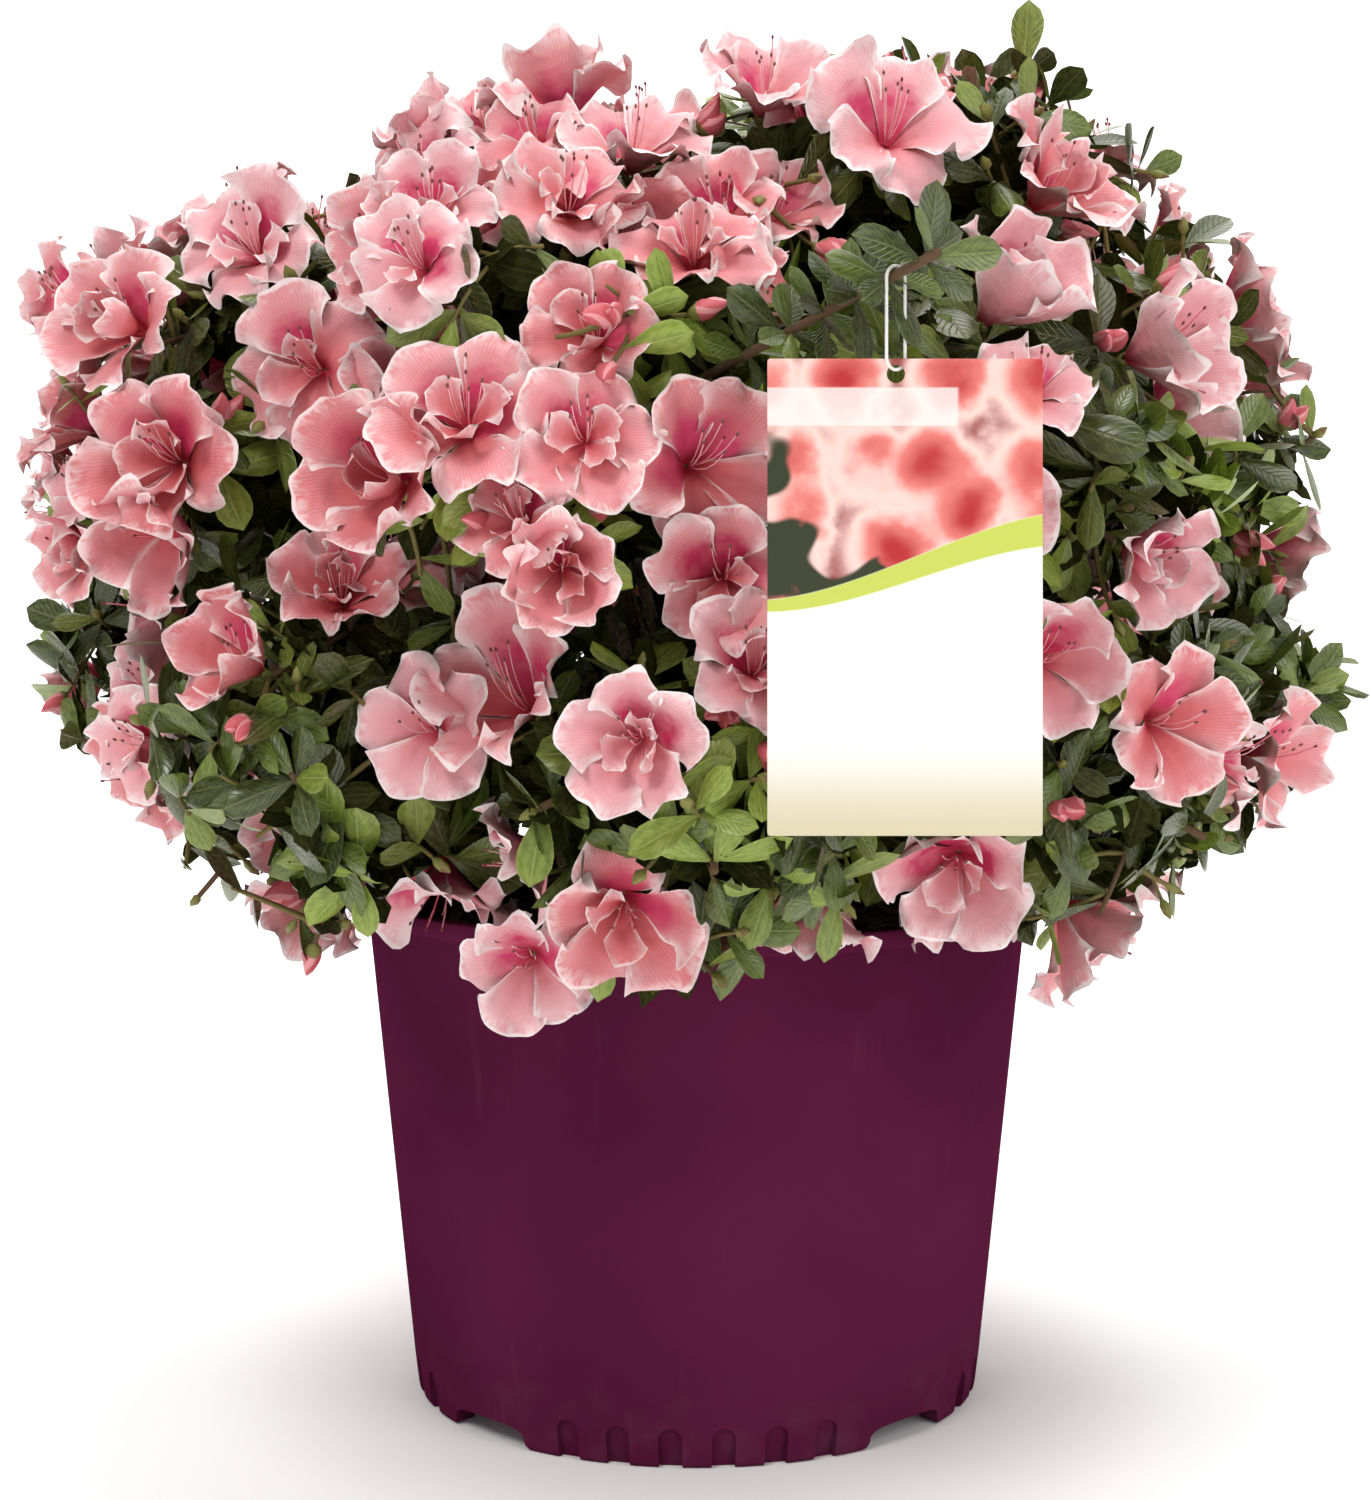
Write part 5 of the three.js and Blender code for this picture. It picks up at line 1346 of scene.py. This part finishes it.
# Loop: a closed ring of thin white plastic wire. It passes through the tag's hole and over the long
# shoot, and holds the tag upright in front of the crown.
loop_plastic = grained("loop_plastic", (240, 240, 236), 0.4, 2500, 0.15, 0.1)
aside = np.array([cos(radians(LOOP_TURN)), sin(radians(LOOP_TURN)), 0])
ends = [(LOOP_FOOT + UP * LOOP_HALF_WIDTH, pi), (LOOP_HEAD - UP * LOOP_HALF_WIDTH, 0)]
ring = [middle + LOOP_HALF_WIDTH * (aside * cos(a + start) + UP * sin(a + start))
        for middle, start in ends for a in np.linspace(0, pi, 17)]
straight = []
for here, ahead in zip(ring, ring[1:] + ring[:1]):
    steps = max(1, int(norm(ahead - here) / 2))
    straight += [here + (ahead - here) * k / steps for k in range(steps)]
wire = Sheaf()
limb(wire, straight + straight[:2], np.full(len(straight) + 2, WIRE_RADIUS * 0.7), 10, capped=False)
wire.piece("wire_loop", [loop_plastic], "loop_plastic", ["tag_loop"])


# Pale floor and backdrop, soft studio light and the camera. The photograph was taken from a little
# above the pot, with the lens shifted so that upright lines stay upright.
CAMERA_DISTANCE, CAMERA_HEIGHT, FOCAL_PIXELS, SENSOR = 1200, 380, 2815, 36
IMAGE_WIDTH, IMAGE_HEIGHT, AXIS_COLUMN, HORIZON_ROW = 1370, 1500, 697, 481
PAPER_FRONT, PAPER_BACK, PAPER_TOP, PAPER_BEND, PAPER_HALF_WIDTH = -6, 3.4, 6, 1.2, 7
quarter = [(PAPER_BACK - PAPER_BEND * (1 - sin(a)), PAPER_BEND * (1 - cos(a)))
           for a in np.linspace(0, pi / 2, 12)]
sweep = [(PAPER_FRONT, 0), *quarter, (PAPER_BACK, PAPER_TOP)]
floor_mesh = bpy.data.meshes.new("floor")
floor_mesh.from_pydata([(x, y, z) for y, z in sweep for x in (-PAPER_HALF_WIDTH, PAPER_HALF_WIDTH)], [],
                       [(2 * k, 2 * k + 1, 2 * k + 3, 2 * k + 2) for k in range(len(sweep) - 1)])
floor_mesh.shade_smooth()
floor = in_scene("floor", floor_mesh)
# The floor glows a little though it is no lamp: painted light that keeps it white
paper_with_painted_glow = Finish("paper_with_painted_glow", Roughness=0.9, Specular_IOR_Level=0.0, Base_Color=(0.93, 0.93, 0.93, 1),
               Emission_Strength=0.2)
x, y, _ = paper_with_painted_glow.parts(paper_with_painted_glow.place())
# Painted contact shadow: the floor's glow falls to a tenth within about 0.11 m of the pot's axis and is full
# past 0.21 m
glow_outside_painted_shadow = (x * x + y * y).between(0.013, 0.045)
paper_with_painted_glow.feed("Emission Color", paper_with_painted_glow.mix(glow_outside_painted_shadow, (0.1, 0.1, 0.1, 1), (1, 1, 1, 1)))
paper_with_painted_glow.material.cycles.emission_sampling = "NONE"
paper_with_painted_glow.relief(paper_with_painted_glow.cloud(paper_with_painted_glow.place(), 300, 2), 0.03, 0.2 * MM)
floor.data.materials.append(paper_with_painted_glow.material)


for name, place, towards, power, size in (("key", (-1.3, -2.0, 2.7), (0, 0, 0.35), 44, 1.1),
                                          ("fill", (1.8, -2.0, 1.7), (0, 0, 0.35), 30, 1.8),
                                          ("top", (0.3, 0.3, 2.8), (0, 0, 0.3), 32, 1.8),
                                          ("backdrop", (0, 1.9, 2.6), (0, 3.2, 0.6), 60, 2.4)):
    light = bpy.data.lights.new(name, "AREA")
    light.energy, light.size, light.color = power, size, (1, 0.985, 0.965)
    made = in_scene(name, light)
    made.location = place
    made.rotation_mode = "QUATERNION"
    made.rotation_quaternion = (Vector(towards) - Vector(place)).to_track_quat("-Z", "Y")
world = bpy.data.worlds.new("studio")
bpy.context.scene.world = world
world.use_nodes = True
for socket, value in (("Color", (1, 1, 1, 1)), ("Strength", 0.33)):
    world.node_tree.nodes["Background"].inputs[socket].default_value = value
bpy.context.scene.view_settings.view_transform = "Standard"
camera = in_scene("camera", bpy.data.cameras.new("camera"))
camera.location = (0, -CAMERA_DISTANCE * MM, CAMERA_HEIGHT * MM)
camera.rotation_euler = (pi / 2, 0, 0)
camera.data.sensor_width, camera.data.lens = SENSOR, FOCAL_PIXELS / IMAGE_HEIGHT * SENSOR
camera.data.shift_x = (IMAGE_WIDTH / 2 - AXIS_COLUMN) / IMAGE_HEIGHT
camera.data.shift_y = (HORIZON_ROW - IMAGE_HEIGHT / 2) / IMAGE_HEIGHT
camera.data.clip_end = 50
bpy.context.scene.camera = camera
